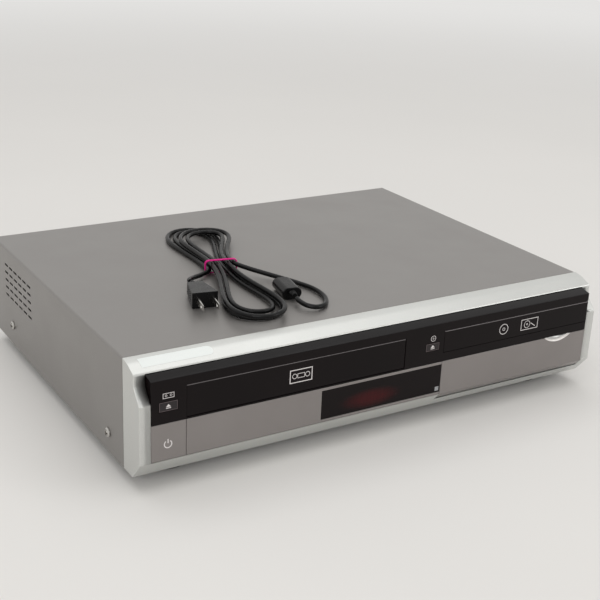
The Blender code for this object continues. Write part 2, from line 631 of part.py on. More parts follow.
# Routes of the lead's two tails on the lid: along the hank, across it, above the lead's lowest run.
PLUG_AT = (-0.0600, -0.0355)
COUPLER_AT = (-0.0620, 0.0370)
PLUG_TAIL = ((-0.0318, -0.0355, 0.0045), (-0.0270, -0.0350, 0.0040), (-0.0190, -0.0300, 0.0024),
             (-0.0100, -0.0195, 0.0014))
COUPLER_TAIL = ((-0.0130, 0.0190, 0.0050), (-0.0280, 0.0370, 0.0018), (-0.0450, 0.0525, 0.0001),
                (-0.0620, 0.0610, 0), (-0.0800, 0.0630, 0), (-0.0950, 0.0580, 0),
                (-0.1015, 0.0490, 0.0005), (-0.0985, 0.0410, 0.0014), (-0.0910, 0.0374, 0.0025),
                (-0.0860, 0.0370, 0.0030))
TAIL_PARTS = 3
NEIGHBOURS = 6
MM_PER_METRE = 1000

# Faces round a turned piece, by size
FINE_SIDES = 40
ROUND_SIDES = 24
SMALL_SIDES = 12
FEW_SIDES = 8

# Colours as linear red, green and blue, then roughness and metallic value
SILVER_STEEL = ("silver_steel", (0.46, 0.45, 0.43), 0.38, 0.8)
PLAIN_STEEL = ("plain_steel", (0.42, 0.43, 0.44), 0.35, 1.0)
SILVER_PLASTIC = ("silver_plastic", (0.62, 0.63, 0.60), 0.30, 0.5)
MIRROR_SILVER = ("mirror_silver", (0.30, 0.30, 0.30), 0.15, 0.8)
GLOSS_BLACK = ("gloss_black", (0.008, 0.006, 0.006), 0.08, 0.0)
DULL_BLACK = ("dull_black", (0.02, 0.02, 0.02), 0.55, 0.0)
WINDOW_SMOKE = ("window_smoke", (0.02, 0.006, 0.006), 0.05, 0.0)
TUBE_GLASS = ("tube_glass", (0.05, 0.08, 0.08), 0.10, 0.0)
BOARD_GREEN = ("board_green", (0.03, 0.14, 0.05), 0.50, 0.0)
WHITE_PLASTIC = ("white_plastic", (0.70, 0.69, 0.64), 0.45, 0.0)
RUBBER_BLACK = ("rubber_black", (0.015, 0.015, 0.015), 0.80, 0.0)
CHROME = ("chrome", (0.75, 0.75, 0.76), 0.12, 1.0)
ALUMINIUM = ("aluminium", (0.62, 0.63, 0.64), 0.30, 1.0)
TIE_PINK = ("tie_pink", (0.65, 0.02, 0.22), 0.45, 0.0)


def start_scene():
    """Clears the scene and returns the empty that carries the player."""
    for old in list(bpy.data.objects):
        bpy.data.objects.remove(old, do_unlink=True)
    root = bpy.context.scene.collection
    for name in ("dvd_vcr_combo_player", "cutters"):
        root.children.link(bpy.data.collections.new(name))
    bpy.data.collections["cutters"].hide_render = True
    carrier = bpy.data.objects.new("front_centre", None)
    carrier.location = (0, -TOTAL_DEPTH / 2, 0)
    bpy.data.collections["dvd_vcr_combo_player"].objects.link(carrier)
    return carrier


CARRIER = start_scene()


def finish_of(look):
    """A Principled material from a name, a colour, a roughness and a metallic value."""
    name, colour, roughness, metallic = look
    made = bpy.data.materials.get(name)
    if made is None:
        made = bpy.data.materials.new(name)
        made.use_nodes = True
        shader = made.node_tree.nodes["Principled BSDF"]
        shader.inputs["Base Color"].default_value = (*colour, 1)
        shader.inputs["Roughness"].default_value = roughness
        shader.inputs["Metallic"].default_value = metallic
    return made


def put(name, mesh, place, look=None, turn=None):
    """Links a mesh as a named piece, or as a cutter where it has no look."""
    made = bpy.data.objects.new(name, mesh)
    made.parent = CARRIER
    made.location = place
    if turn is not None:
        made.rotation_euler = turn
    group = "cutters" if look is None else "dvd_vcr_combo_player"
    bpy.data.collections[group].objects.link(made)
    if look is None:
        made.hide_render = True
        made.display_type = "WIRE"
    else:
        mesh.materials.append(finish_of(look))
    return made


def mesh_of(name, form):
    mesh = bpy.data.meshes.new(name)
    form.to_mesh(mesh)
    form.free()
    return mesh


def block(name, low, high, look=None):
    """A block between two opposite corners, its origin at its middle."""
    low, high = Vector(low), Vector(high)
    form = bmesh.new()
    bmesh.ops.create_cube(form, size=1)
    bmesh.ops.scale(form, vec=high - low, verts=form.verts)
    return put(name, mesh_of(name, form), (low + high) / 2, look)


def blocks(name, corners):
    """One cutter of many blocks that don't touch, each given by two opposite corners."""
    form = bmesh.new()
    for low, high in corners:
        low, high = Vector(low), Vector(high)
        made = bmesh.ops.create_cube(form, size=1)["verts"]
        bmesh.ops.scale(form, vec=high - low, verts=made)
        bmesh.ops.translate(form, vec=(low + high) / 2, verts=made)
    return put(name, mesh_of(name, form), (0, 0, 0))


TURNS = {"x": Matrix.Rotation(math.pi / 2, 4, "Y"), "y": Matrix.Rotation(-math.pi / 2, 4, "X"),
         "z": Matrix.Identity(4)}


def round_bar(name, centre, axis, length, radius, look=None, sides=ROUND_SIDES):
    """A cylinder along one axis, its origin at its middle."""
    form = bmesh.new()
    bmesh.ops.create_cone(form, cap_ends=True, segments=sides, radius1=radius, radius2=radius,
                          depth=length)
    bmesh.ops.transform(form, matrix=TURNS[axis], verts=form.verts)
    made = put(name, mesh_of(name, form), centre, look)
    smooth(made)
    return made


def round_bars(name, centres, axis, length, radius, sides=SMALL_SIDES):
    """One cutter of several like cylinders that don't touch."""
    form = bmesh.new()
    for centre in centres:
        made = bmesh.ops.create_cone(form, cap_ends=True, segments=sides, radius1=radius,
                                     radius2=radius, depth=length)["verts"]
        bmesh.ops.transform(form, matrix=Matrix.Translation(centre) @ TURNS[axis], verts=made)
    return put(name, mesh_of(name, form), (0, 0, 0))


def smooth(made):
    made.data.shade_smooth()
    made.data.set_sharp_from_angle(angle=math.radians(35))


def turned(name, profile, centre, look=None, axis="z", sides=ROUND_SIDES):
    """A piece turned about its own axis, from a profile of radius and height, top to bottom."""
    mesh = bpy.data.meshes.new(name)
    points = [(radius, 0, height) for radius, height in profile]
    mesh.from_pydata(points, [(i, i + 1) for i in range(len(points) - 1)], [])
    made = put(name, mesh, centre, look)
    screw = made.modifiers.new("turn", "SCREW")
    screw.axis = "Z"
    screw.steps = sides
    screw.render_steps = sides
    screw.use_merge_vertices = True
    screw.merge_threshold = MERGE
    if axis != "z":
        made.rotation_euler = TURNS[axis].to_euler()
    return made


def bake(made):
    """Turns a piece with modifiers, or a curve, into a plain mesh in the same place."""
    bpy.context.view_layer.update()
    graph = bpy.context.evaluated_depsgraph_get()
    mesh = bpy.data.meshes.new_from_object(made.evaluated_get(graph))
    form = bmesh.new()
    form.from_mesh(mesh)
    bmesh.ops.remove_doubles(form, verts=form.verts, dist=MERGE / 5)
    bmesh.ops.transform(form, matrix=made.rotation_euler.to_matrix().to_4x4(), verts=form.verts)
    form.to_mesh(mesh)
    form.free()
    fresh = bpy.data.objects.new("fresh", mesh)
    for group in made.users_collection:
        group.objects.link(fresh)
    fresh.parent = made.parent
    fresh.location = made.location
    fresh.hide_render = made.hide_render
    fresh.display_type = made.display_type
    name = made.name
    bpy.data.objects.remove(made, do_unlink=True)
    fresh.name = name
    return fresh


def outline(name, points, depth, place, look=None, turn=(0, 0, 0)):
    """A flat outline given thickness: its own X and Y are drawn, and Z is its depth about place."""
    drawn = bpy.data.curves.new(name, "CURVE")
    drawn.dimensions = "2D"
    drawn.fill_mode = "BOTH"
    drawn.extrude = depth / 2
    spline = drawn.splines.new("POLY")
    spline.points.add(len(points) - 1)
    for knot, (across, up) in zip(spline.points, points):
        knot.co = (across, up, 0, 1)
    spline.use_cyclic_u = True
    return bake(put(name, drawn, place, look, turn))


def side_outline(name, points, left, right, look=None):
    """A side view of (Y, Z) points carried along X from left to right."""
    return outline(name, points, right - left, ((left + right) / 2, 0, 0), look,
                   (math.pi / 2, 0, math.pi / 2))


def change(made, operation, tools):
    for tool in tools:
        step = made.modifiers.new(tool.name, "BOOLEAN")
        step.operation = operation
        step.object = tool
    return made


def cut(made, *tools):
    return change(made, "DIFFERENCE", tools)


def join(made, *tools):
    return change(made, "UNION", tools)


def ease(made, width, segments=1, angle=40):
    """Breaks the edges sharper than the angle, and is used before any cut."""
    soft = made.modifiers.new("ease", "BEVEL")
    soft.width = width
    soft.segments = segments
    soft.limit_method = "ANGLE"
    soft.angle_limit = math.radians(angle)
    return made


def seat(made, point):
    """Moves a piece's origin onto its joint's axis and leaves the piece where it is."""
    shift = Vector(made.location) - Vector(point)
    made.data.transform(Matrix.Translation(shift))
    made.location = point
    return made


def make_top_cover():
    """Folded sheet: a roof, two sides and a short lip down the back, with slots low on both sides."""
    sheet = ((-SIDE, FLOOR_GAP), (-SIDE, HEIGHT - COVER_ROUND), (-SIDE + COVER_ROUND, HEIGHT),
             (SIDE - COVER_ROUND, HEIGHT), (SIDE, HEIGHT - COVER_ROUND), (SIDE, FLOOR_GAP),
             (SIDE - SHEET, FLOOR_GAP), (SIDE - SHEET, HEIGHT - COVER_ROUND),
             (SIDE - COVER_ROUND, HEIGHT - SHEET), (-SIDE + COVER_ROUND, HEIGHT - SHEET),
             (-SIDE + SHEET, HEIGHT - COVER_ROUND), (-SIDE + SHEET, FLOOR_GAP))
    front = BAND_BACK + FIT
    cover = outline("top_cover", sheet, COVER_DEPTH - front, (0, (COVER_DEPTH + front) / 2, 0),
                    SILVER_STEEL, (math.pi / 2, 0, 0))
    lip = block("cover_lip", (-SIDE + COVER_ROUND, COVER_DEPTH - SHEET, HEIGHT - COVER_LIP),
                (SIDE - COVER_ROUND, COVER_DEPTH, HEIGHT - SHEET / 2))
    slots = []
    for column in range(VENT_COLUMNS):
        for row in range(VENT_ROWS):
            y = VENT_FIRST_Y + column * VENT_PITCH
            z = VENT_LOW_Z + row * VENT_STEP_Z
            for wall in (-SIDE, SIDE):
                slots.append(((wall - OVERRUN, y, z), (wall + OVERRUN, y + VENT_WIDE, z + VENT_TALL)))
    holes = [(wall, y, z) for wall in (-SIDE, SIDE) for y, z in (SIDE_SCREW_FRONT, SIDE_SCREW_REAR)]
    backs = [(x, COVER_DEPTH, HEIGHT - REAR_SCREW_DROP) for x in (-REAR_SCREW_X, REAR_SCREW_X)]
    room = SCREW_SHANK + SCREW_ROOM
    cut(join(cover, lip), blocks("side_slots", slots),
        round_bars("side_screw_holes", holes, "x", 2 * OVERRUN, room),
        round_bars("lip_screw_holes", backs, "y", 2 * OVERRUN, room))


def make_base_pan():
    """Folded tray with upright flanges, and the standoffs and legs that carry the insides."""
    low, top = FLOOR_GAP, FLOOR_GAP + SHEET
    edge = SIDE - BASE_SIDE_GAP
    pan = block("base_pan", (-edge, BASE_SHOULDER, low), (edge, BASE_BACK, top), PLAIN_STEEL)
    tongue_side = SIDE - SHELL - FIT
    tongue = block("pan_tongue", (-tongue_side, BASE_FRONT, low),
                   (tongue_side, BASE_SHOULDER + OVERRUN, top))
    flanges = [block("pan_flange", (min(wall, wall + inward), BASE_SHOULDER, low),
                     (max(wall, wall + inward), BASE_BACK, low + FLANGE_TALL))
               for wall, inward in ((-edge, SHEET), (edge, -SHEET))]
    join(pan, tongue, *flanges)
    under = low + SHEET / 2
    for x, y, height in standoff_places():
        top_z = height - FIT
        join(pan, round_bar("standoff", (x, y, (under + top_z) / 2), "z", top_z - under, STANDOFF, None,
                            FEW_SIDES))
    for x in (DRIVE_LEFT + LEG_INSET, DRIVE_RIGHT - LEG_INSET - LEG):
        for y in (DRIVE_FRONT + LEG_INSET, DRIVE_BACK - LEG_INSET - LEG):
            join(pan, block("drive_leg", (x, y, under), (x + LEG, y + LEG, DRIVE_LOW - FIT)))
    holes = [(wall, y, z) for wall in (-edge, edge) for y, z in (SIDE_SCREW_FRONT, SIDE_SCREW_REAR)]
    cut(pan, round_bars("flange_screw_holes", holes, "x", 2 * OVERRUN, SCREW_SHANK + SCREW_ROOM))


def corners_of(left, front, wide, long, inset):
    return [(x, y) for x in (left + inset, left + wide - inset)
            for y in (front + inset, front + long - inset)]


def standoff_places():
    """Where the pan's standoffs rise, and the underside that each one meets."""
    main = corners_of(MAIN_BOARD_LEFT, MAIN_BOARD_Y, MAIN_BOARD_WIDE, MAIN_BOARD_LONG, STANDOFF_INSET)
    power = corners_of(POWER_BOARD_LEFT, POWER_BOARD_Y, POWER_BOARD_WIDE, POWER_BOARD_LONG, STANDOFF_INSET)
    disk = corners_of(HARD_DISK_LEFT, HARD_DISK_Y, HARD_DISK_WIDE, HARD_DISK_LONG, STANDOFF_INSET)
    deck = corners_of(DECK_LEFT, DECK_FRONT, DECK_RIGHT - DECK_LEFT, DECK_BACK - DECK_FRONT, STANDOFF_INSET)
    return ([(x, y, BOARD_Z) for x, y in main + power] + [(x, y, HARD_DISK_Z) for x, y in disk]
            + [(x, y, DECK_Z) for x, y in deck])


def make_rear_panel():
    """Flat sheet with a fan grille and a cut-out for each socket block."""
    panel = block("rear_panel", (-SIDE + BASE_SIDE_GAP, REAR_Y, FLOOR_GAP + FIT),
                  (SIDE - BASE_SIDE_GAP, REAR_Y + SHEET, REAR_TOP), PLAIN_STEEL)
    front, back = REAR_Y - OVERRUN, REAR_Y + SHEET + OVERRUN
    rows = []
    for row in range(GRILLE_ROWS):
        z = FAN_Z + (row - (GRILLE_ROWS - 1) / 2) * (GRILLE_SLOT + GRILLE_BAR)
        reach = math.sqrt(FAN_BORE ** 2 - (z - FAN_Z) ** 2)
        low, high = z - GRILLE_SLOT / 2, z + GRILLE_SLOT / 2
        for start, end in ((-reach, -GRILLE_BAR), (GRILLE_BAR, reach)):
            rows.append(((FAN_X + start, front, low), (FAN_X + end, back, high)))
    mouths = [window_of(AERIAL_X - AERIAL_WIDE / 2, AERIAL_Z, AERIAL_WIDE, AERIAL_TALL),
              window_of(SOCKETS_LEFT, SOCKETS_Z, SOCKETS_WIDE, SOCKETS_TALL),
              window_of(INLET_X - INLET_WIDE / 2, INLET_Z - INLET_TALL / 2, INLET_WIDE, INLET_TALL)]
    windows = [((left - FIT, front, low - FIT), (right + FIT, back, high + FIT))
               for left, low, right, high in mouths]
    screws = [(x, REAR_Y, HEIGHT - REAR_SCREW_DROP) for x in (-REAR_SCREW_X, REAR_SCREW_X)]
    cut(panel, blocks("grille_slots", rows), blocks("socket_windows", windows),
        round_bars("rear_screw_holes", screws, "y", 2 * OVERRUN + SHEET, SCREW_SHANK + SCREW_ROOM))


def window_of(left, low, wide, tall):
    return left, low, left + wide, low + tall


def make_feet():
    """Four turned feet under the pan, each dished around its own fixing."""
    top = FLOOR_GAP - FIT
    edge = (FOOT_RADIUS + FOOT_WAIST) / 2
    profile = ((0, top), (FOOT_WAIST, top), (FOOT_RADIUS, top - FOOT_HOLE_DEEP),
               (FOOT_RADIUS, FOOT_HOLE_DEEP), (edge, 0), (FOOT_HOLE, 0), (FOOT_HOLE, FOOT_HOLE_DEEP),
               (0, FOOT_HOLE_DEEP))
    for depth, y in (("front", FOOT_FRONT_Y), ("rear", FOOT_REAR_Y)):
        for hand, x in (("left", -FOOT_X), ("right", FOOT_X)):
            turned(f"foot_{depth}_{hand}", profile, (x, y, 0), RUBBER_BLACK)


def make_screws():
    """Dome-headed screws that hold the cover to the pan and to the rear panel."""
    cross = SCREW_HEAD / 2
    profile = ((0, SCREW_CROWN), (cross, SCREW_HEAD_TALL + (SCREW_CROWN - SCREW_HEAD_TALL) / 2),
               (SCREW_HEAD, SCREW_HEAD_TALL / 2), (SCREW_HEAD, 0), (SCREW_SHANK, 0),
               (SCREW_SHANK, -SCREW_LONG), (0, -SCREW_LONG))
    for depth, (y, z) in (("front", SIDE_SCREW_FRONT), ("rear", SIDE_SCREW_REAR)):
        for hand, x, lean in (("left", -SIDE - FIT, -math.pi / 2), ("right", SIDE + FIT, math.pi / 2)):
            screw = turned(f"cover_screw_{hand}_{depth}", profile, (x, y, z), CHROME, sides=SMALL_SIDES)
            screw.rotation_euler = (0, lean, 0)
    for hand, x in (("left", -REAR_SCREW_X), ("right", REAR_SCREW_X)):
        screw = turned(f"rear_screw_{hand}", profile, (x, COVER_DEPTH + FIT, HEIGHT - REAR_SCREW_DROP),
                       CHROME, sides=SMALL_SIDES)
        screw.rotation_euler = (-math.pi / 2, 0, 0)


def make_front_moulding():
    """The moulded front: band over the top, a cheek at each end, and a pocket that holds the panels."""
    brow = [(y * BAND_BACK, z * HEIGHT) for y, z in BROW_SHARES]
    profile = brow + [(0, SILL_TOP), (CHAMFER_BACK, FLOOR_GAP), (BAND_BACK, FLOOR_GAP)]
    front = side_outline("front_moulding", profile, -SIDE, SIDE, SILVER_PLASTIC)
    inner = SIDE - CHEEK
    pocket = block("pocket", (-inner, -OVERRUN, SILL_TOP), (inner, POCKET_DEEP, NOSE_SHARE * HEIGHT))
    cavity = block("cavity", (-SIDE + SHELL, BULKHEAD_BACK, FLOOR_GAP - OVERRUN),
                   (SIDE - SHELL, BAND_BACK + OVERRUN, CAVITY_TOP))
    recess = block("hinge_recess", (DOOR_LEFT - FIT, -OVERRUN, HINGE_RECESS_LOW),
                   (inner, HINGE_RECESS_DEEP, SILL_TOP + OVERRUN))
    room = HINGE_PIN + FIT
    pins = round_bars("door_pin_holes", ((DOOR_LEFT, HINGE_Y, HINGE_Z), (PANEL_RIGHT, HINGE_Y, HINGE_Z)),
                      "x", 2 * (HINGE_PIN_LONG + 2 * FIT), room)
    cut(front, pocket, cavity, recess, pins)
    foot, tip = BULKHEAD_BACK - BITE, FRONT_BOARD_Y - FIT
    join(front, *[round_bar("board_boss", (x, (foot + tip) / 2, z), "y", tip - foot, BOSS, None, FEW_SIDES)
                  for x, z in board_boss_places()])
    low, back = POCKET_DEEP - BITE, BULKHEAD_BACK + BITE
    mouths = [((FLAP_LEFT - FLAP_CLEAR, low, FLAP_LOW - FLAP_CLEAR),
               (FLAP_RIGHT + FLAP_CLEAR, back, FLAP_TOP + SWING_ROOM)),
              ((TRAY_X - TRAY_WIDE / 2 - TRAY_MOUTH_SIDE, low, TRAY_Z - TRAY_MOUTH_LOW - RACK_DROP),
               (TRAY_X + TRAY_WIDE / 2 + TRAY_MOUTH_SIDE, back, TRAY_Z + TRAY_MOUTH_TALL)),
              ((TUBE_LEFT - TUBE_ROOM, low, TUBE_LOW - TUBE_ROOM),
               (TUBE_LEFT + TUBE_WIDE + TUBE_ROOM, back, TUBE_LOW + TUBE_TALL + TUBE_ROOM)),
              jack_mouth(low, back), card_mouth(low, back)]
    for x, z in stem_places():
        mouths.append(((x - STEM / 2 - FIT, low, z - STEM / 2 - FIT),
                       (x + STEM / 2 + FIT, back, z + STEM / 2 + FIT)))
    for x, z in key_places():
        mouths.append(((x - KEY_WIDE / 2 - FIT, low, z - KEY_TALL / 2 - FIT),
                       (x + KEY_WIDE / 2 + FIT, back, z + KEY_TALL / 2 + FIT)))
    cut(front, blocks("bulkhead_mouths", mouths))


def board_boss_places():
    """Bosses on the back of the bulkhead, in the corners of the front board and of its two tabs."""
    reach = 2 * BOSS
    high, low = FRONT_BOARD_TOP - reach, FRONT_BOARD_LOW + reach
    left, right = -SIDE + FRONT_BOARD_SIDE + reach, SIDE - FRONT_BOARD_SIDE - reach
    return ((left, low), (right, low), (right, high), (left, TAB_TOP - BOSS - FIT),
            (MIDDLE_TAB_LEFT + reach, TAB_TOP - BOSS - FIT), (FLAP_LEFT + reach, low),
            (MIDDLE_TAB_LEFT, low))


def stem_places():
    """Middles of the three panel buttons' stems, across and up."""
    return ((power_middle()[0], power_middle()[1]), (EJECT_X, EJECT_Z), (OPEN_X, OPEN_Z))


def power_middle():
    return (PANEL_LEFT + POWER_RIGHT) / 2, (LOWER_FOOT + LOWER_TOP) / 2


def key_places():
    """Middles of the six keys behind the door: three over three."""
    return [(KEY_FIRST_X + column * KEY_PITCH, z) for z in (KEY_HIGH_Z, KEY_LOW_Z) for column in range(3)]


def jack_places():
    return [(JACK_FIRST_X + number * JACK_PITCH, JACK_Z) for number in range(JACK_COUNT)]


def jack_mouth(low, back):
    places = jack_places()
    return ((places[0][0] - JACK_BLOCK_SIDE - FIT, low, JACK_Z - JACK_BLOCK_TALL / 2 - FIT),
            (places[-1][0] + JACK_BLOCK_SIDE + FIT, back, JACK_Z + JACK_BLOCK_TALL / 2 + FIT))


def card_mouth(low, back):
    return ((CARD_X - CARD_BODY_WIDE / 2 - FIT, low, CARD_Z - CARD_BODY_TALL / 2 - FIT),
            (CARD_X + CARD_BODY_WIDE / 2 + FIT, back, CARD_Z + CARD_BODY_TALL / 2 + FIT))


def make_upper_panel():
    """Gloss panel that stands proud of the cheeks, with mouths for flap, tray front and two buttons."""
    profile = ((0, UPPER_FOOT), (0, UPPER_FACE_TOP), (CROWN_BACK, UPPER_CROWN),
               (PANEL_DEEP, UPPER_CROWN), (PANEL_DEEP, UPPER_FOOT))
    panel = side_outline("upper_panel", profile, PANEL_LEFT, PANEL_RIGHT, GLOSS_BLACK)
    floor = FLAP_LOW - FLAP_CLEAR
    crown = UPPER_FACE_TOP - PANEL_WALL
    inside = ((PANEL_WALL, floor), (PANEL_WALL, crown), (CROWN_BACK, UPPER_CROWN - PANEL_WALL),
              (PANEL_DEEP + OVERRUN, UPPER_CROWN - PANEL_WALL), (PANEL_DEEP + OVERRUN, floor))
    hollow = side_outline("upper_hollow", inside, PANEL_LEFT + PANEL_WALL, PANEL_RIGHT - PANEL_WALL)
    cut(panel, hollow)
    lug_low, lug_high = FLAP_PIVOT_Z - LUG_DROP, UPPER_FACE_TOP - BITE
    for left, right in ((FLAP_LEFT - FIT - LUG_THICK, FLAP_LEFT - FIT),
                        (FLAP_RIGHT + FIT, FLAP_RIGHT + FIT + LUG_THICK)):
        join(panel, block("flap_lug", (left, PANEL_WALL - BITE, lug_low), (right, LUG_DEEP, lug_high)))
    pins = round_bars("flap_pin_holes", ((FLAP_LEFT, FLAP_PIVOT_BACK, FLAP_PIVOT_Z),
                                         (FLAP_RIGHT, FLAP_PIVOT_BACK, FLAP_PIVOT_Z)),
                      "x", 2 * (LUG_THICK + FIT + OVERRUN), FLAP_PIN + FIT)
    through = PANEL_WALL + BITE
    mouths = [((FLAP_LEFT - FIT, -OVERRUN, FLAP_LOW - FIT), (FLAP_RIGHT + FIT, through, FLAP_TOP + FIT)),
              ((EJECT_X - EJECT_WIDE / 2 - FIT, -OVERRUN, EJECT_Z - EJECT_TALL / 2 - FIT),
               (EJECT_X + EJECT_WIDE / 2 + FIT, through, EJECT_Z + EJECT_TALL / 2 + FIT)),
              ((OPEN_X - OPEN_WIDE / 2 - FIT, -OVERRUN, OPEN_Z - OPEN_TALL / 2 - FIT),
               (OPEN_X + OPEN_WIDE / 2 + FIT, through, OPEN_Z + OPEN_TALL / 2 + FIT)),
              ((TRAY_FRONT_LEFT - FIT, -OVERRUN, TRAY_FRONT_LOW - FIT),
               (PANEL_RIGHT + OVERRUN, PANEL_DEEP - BITE, TRAY_FRONT_TOP + FIT))]
    cut(panel, pins, blocks("upper_mouths", mouths))


def make_cassette_flap():
    """Spring-closed flap on two arms, with a pin at each end; its origin is on the pivot."""
    back = FLAP_SINK + FLAP_THICK
    flap = block("cassette_flap", (FLAP_LEFT, FLAP_SINK, FLAP_LOW), (FLAP_RIGHT, back, FLAP_TOP),
                 GLOSS_BLACK)
    for end, inward in ((FLAP_LEFT, 1), (FLAP_RIGHT, -1)):
        left, right = sorted((end, end + inward * FLAP_ARM))
        join(flap, block("flap_arm_foot", (left, back - BITE, FLAP_TOP - FLAP_ARM_DROP),
                         (right, FLAP_PIVOT_BACK + FLAP_ARM_TOP, FLAP_TOP)),
             block("flap_arm", (left, FLAP_ARM_DEEP, FLAP_TOP - FLAP_ARM_DROP / 2),
                   (right, FLAP_PIVOT_BACK + FLAP_ARM_TOP, FLAP_PIVOT_Z + FLAP_ARM_TOP)),
             round_bar("flap_pin",
                       (end - inward * (FLAP_PIN_LONG - FLAP_ARM) / 2, FLAP_PIVOT_BACK, FLAP_PIVOT_Z),
                       "x", FLAP_PIN_LONG + FLAP_ARM / 2, FLAP_PIN, None, SMALL_SIDES))
    seat(flap, (BAY_X, FLAP_PIVOT_BACK, FLAP_PIVOT_Z))


def make_tray():
    """Disc tray with its two stepped wells, the slot over the spindle and the rack under its left edge."""
    left, right = TRAY_X - TRAY_WIDE / 2, TRAY_X + TRAY_WIDE / 2
    top, back = TRAY_Z + TRAY_THICK, TRAY_Y + TRAY_LONG
    tray = block("disc_tray", (left, TRAY_Y, TRAY_Z), (right, back, top), DULL_BLACK)
    rack_left = left + RACK_INSET
    join(tray, block("rack", (rack_left, TRAY_FRONT_DEEP + FIT, TRAY_Z - RACK_DROP),
                     (rack_left + RACK_WIDE, back, TRAY_Z + BITE)))
    wells = [round_bar("disc_well", (TRAY_X, DISC_Y, top), "z", 2 * DISC_SINK, DISC_RADIUS + DISC_ROOM,
                       None,
                       2 * FINE_SIDES),
             round_bar("small_disc_well", (TRAY_X, DISC_Y, top), "z", 2 * SMALL_DISC_SINK,
                       SMALL_DISC_RADIUS,
                       None, FINE_SIDES),
             round_bar("spindle_eye", (TRAY_X, DISC_Y, TRAY_Z + TRAY_THICK / 2), "z",
                       TRAY_THICK + 2 * OVERRUN,
                       SPINDLE_SLOT, None, FINE_SIDES),
             block("pickup_slot", (TRAY_X - SPINDLE_SLOT, DISC_Y, TRAY_Z - OVERRUN),
                   (TRAY_X + SPINDLE_SLOT, back + OVERRUN, top + OVERRUN))]
    cut(tray, *wells)


def make_tray_front():
    """Hollow gloss bar clipped over the front edge of the tray."""
    front = block("tray_front", (TRAY_FRONT_LEFT, 0, TRAY_FRONT_LOW),
                  (PANEL_RIGHT, TRAY_FRONT_DEEP, TRAY_FRONT_TOP),
                  GLOSS_BLACK)
    hollow = block("tray_front_hollow",
                   (TRAY_FRONT_LEFT + PANEL_WALL, PANEL_WALL, TRAY_FRONT_LOW + PANEL_RIM),
                   (PANEL_RIGHT - PANEL_WALL, TRAY_FRONT_DEEP + OVERRUN, TRAY_FRONT_TOP - PANEL_RIM))
    cut(front, hollow)


def make_lower_panel():
    """Mirror-silver panel between the power button and the door, open at its right for the window."""
    left, right = POWER_RIGHT + FIT, DOOR_LEFT - FIT
    panel = block("lower_panel", (left, 0, LOWER_FOOT), (right, PANEL_DEEP, LOWER_TOP), MIRROR_SILVER)
    hollow = block("lower_hollow", (left + PANEL_RIM, PANEL_WALL, LOWER_FOOT + PANEL_RIM),
                   (right + OVERRUN, PANEL_DEEP + OVERRUN, LOWER_TOP - PANEL_RIM))
    view = block("window_mouth", (WINDOW_LEFT - FIT, -OVERRUN, WINDOW_LOW - FIT),
                 (right + OVERRUN, PANEL_WALL + BITE, WINDOW_LOW + WINDOW_TALL + FIT))
    cut(panel, hollow, view)


def make_display():
    """Smoked window, and the display tube that stands on the front board behind it."""
    block("display_window", (WINDOW_LEFT, WINDOW_SINK, WINDOW_LOW),
          (DOOR_LEFT - FIT, WINDOW_SINK + WINDOW_THICK, WINDOW_LOW + WINDOW_TALL), WINDOW_SMOKE)
    tube = block("display_tube", (TUBE_LEFT, TUBE_FRONT, TUBE_LOW),
                 (TUBE_LEFT + TUBE_WIDE, FRONT_BOARD_Y - FIT, TUBE_LOW + TUBE_TALL), TUBE_GLASS)
    ease(tube, TUBE_EDGE)


def make_panel_buttons():
    """Power button, cassette eject and disc open buttons: each a cap with a stem to the front board."""
    x, z = power_middle()
    cap = block("power_button", (PANEL_LEFT, 0, LOWER_FOOT), (POWER_RIGHT, POWER_CAP_DEEP, LOWER_TOP),
                MIRROR_SILVER)
    cut(cap, block("power_hollow", (PANEL_LEFT + PANEL_RIM, PANEL_WALL, LOWER_FOOT + PANEL_RIM),
                   (POWER_RIGHT - PANEL_RIM, POWER_CAP_DEEP + OVERRUN, LOWER_TOP - PANEL_RIM)))
    join(cap, stem_at(x, z, PANEL_WALL - BITE))
    for name, wide, tall, x, z in (("vhs_eject_button", EJECT_WIDE, EJECT_TALL, EJECT_X, EJECT_Z),
                                   ("disc_open_button", OPEN_WIDE, OPEN_TALL, OPEN_X, OPEN_Z)):
        key = block(name, (x - wide / 2, 0, z - tall / 2), (x + wide / 2, CAP_DEEP, z + tall / 2),
                    GLOSS_BLACK)
        join(key, stem_at(x, z, CAP_DEEP - BITE))


def stem_at(x, z, front):
    return block("button_stem", (x - STEM / 2, front, z - STEM / 2), (x + STEM / 2, STEM_END, z + STEM / 2))


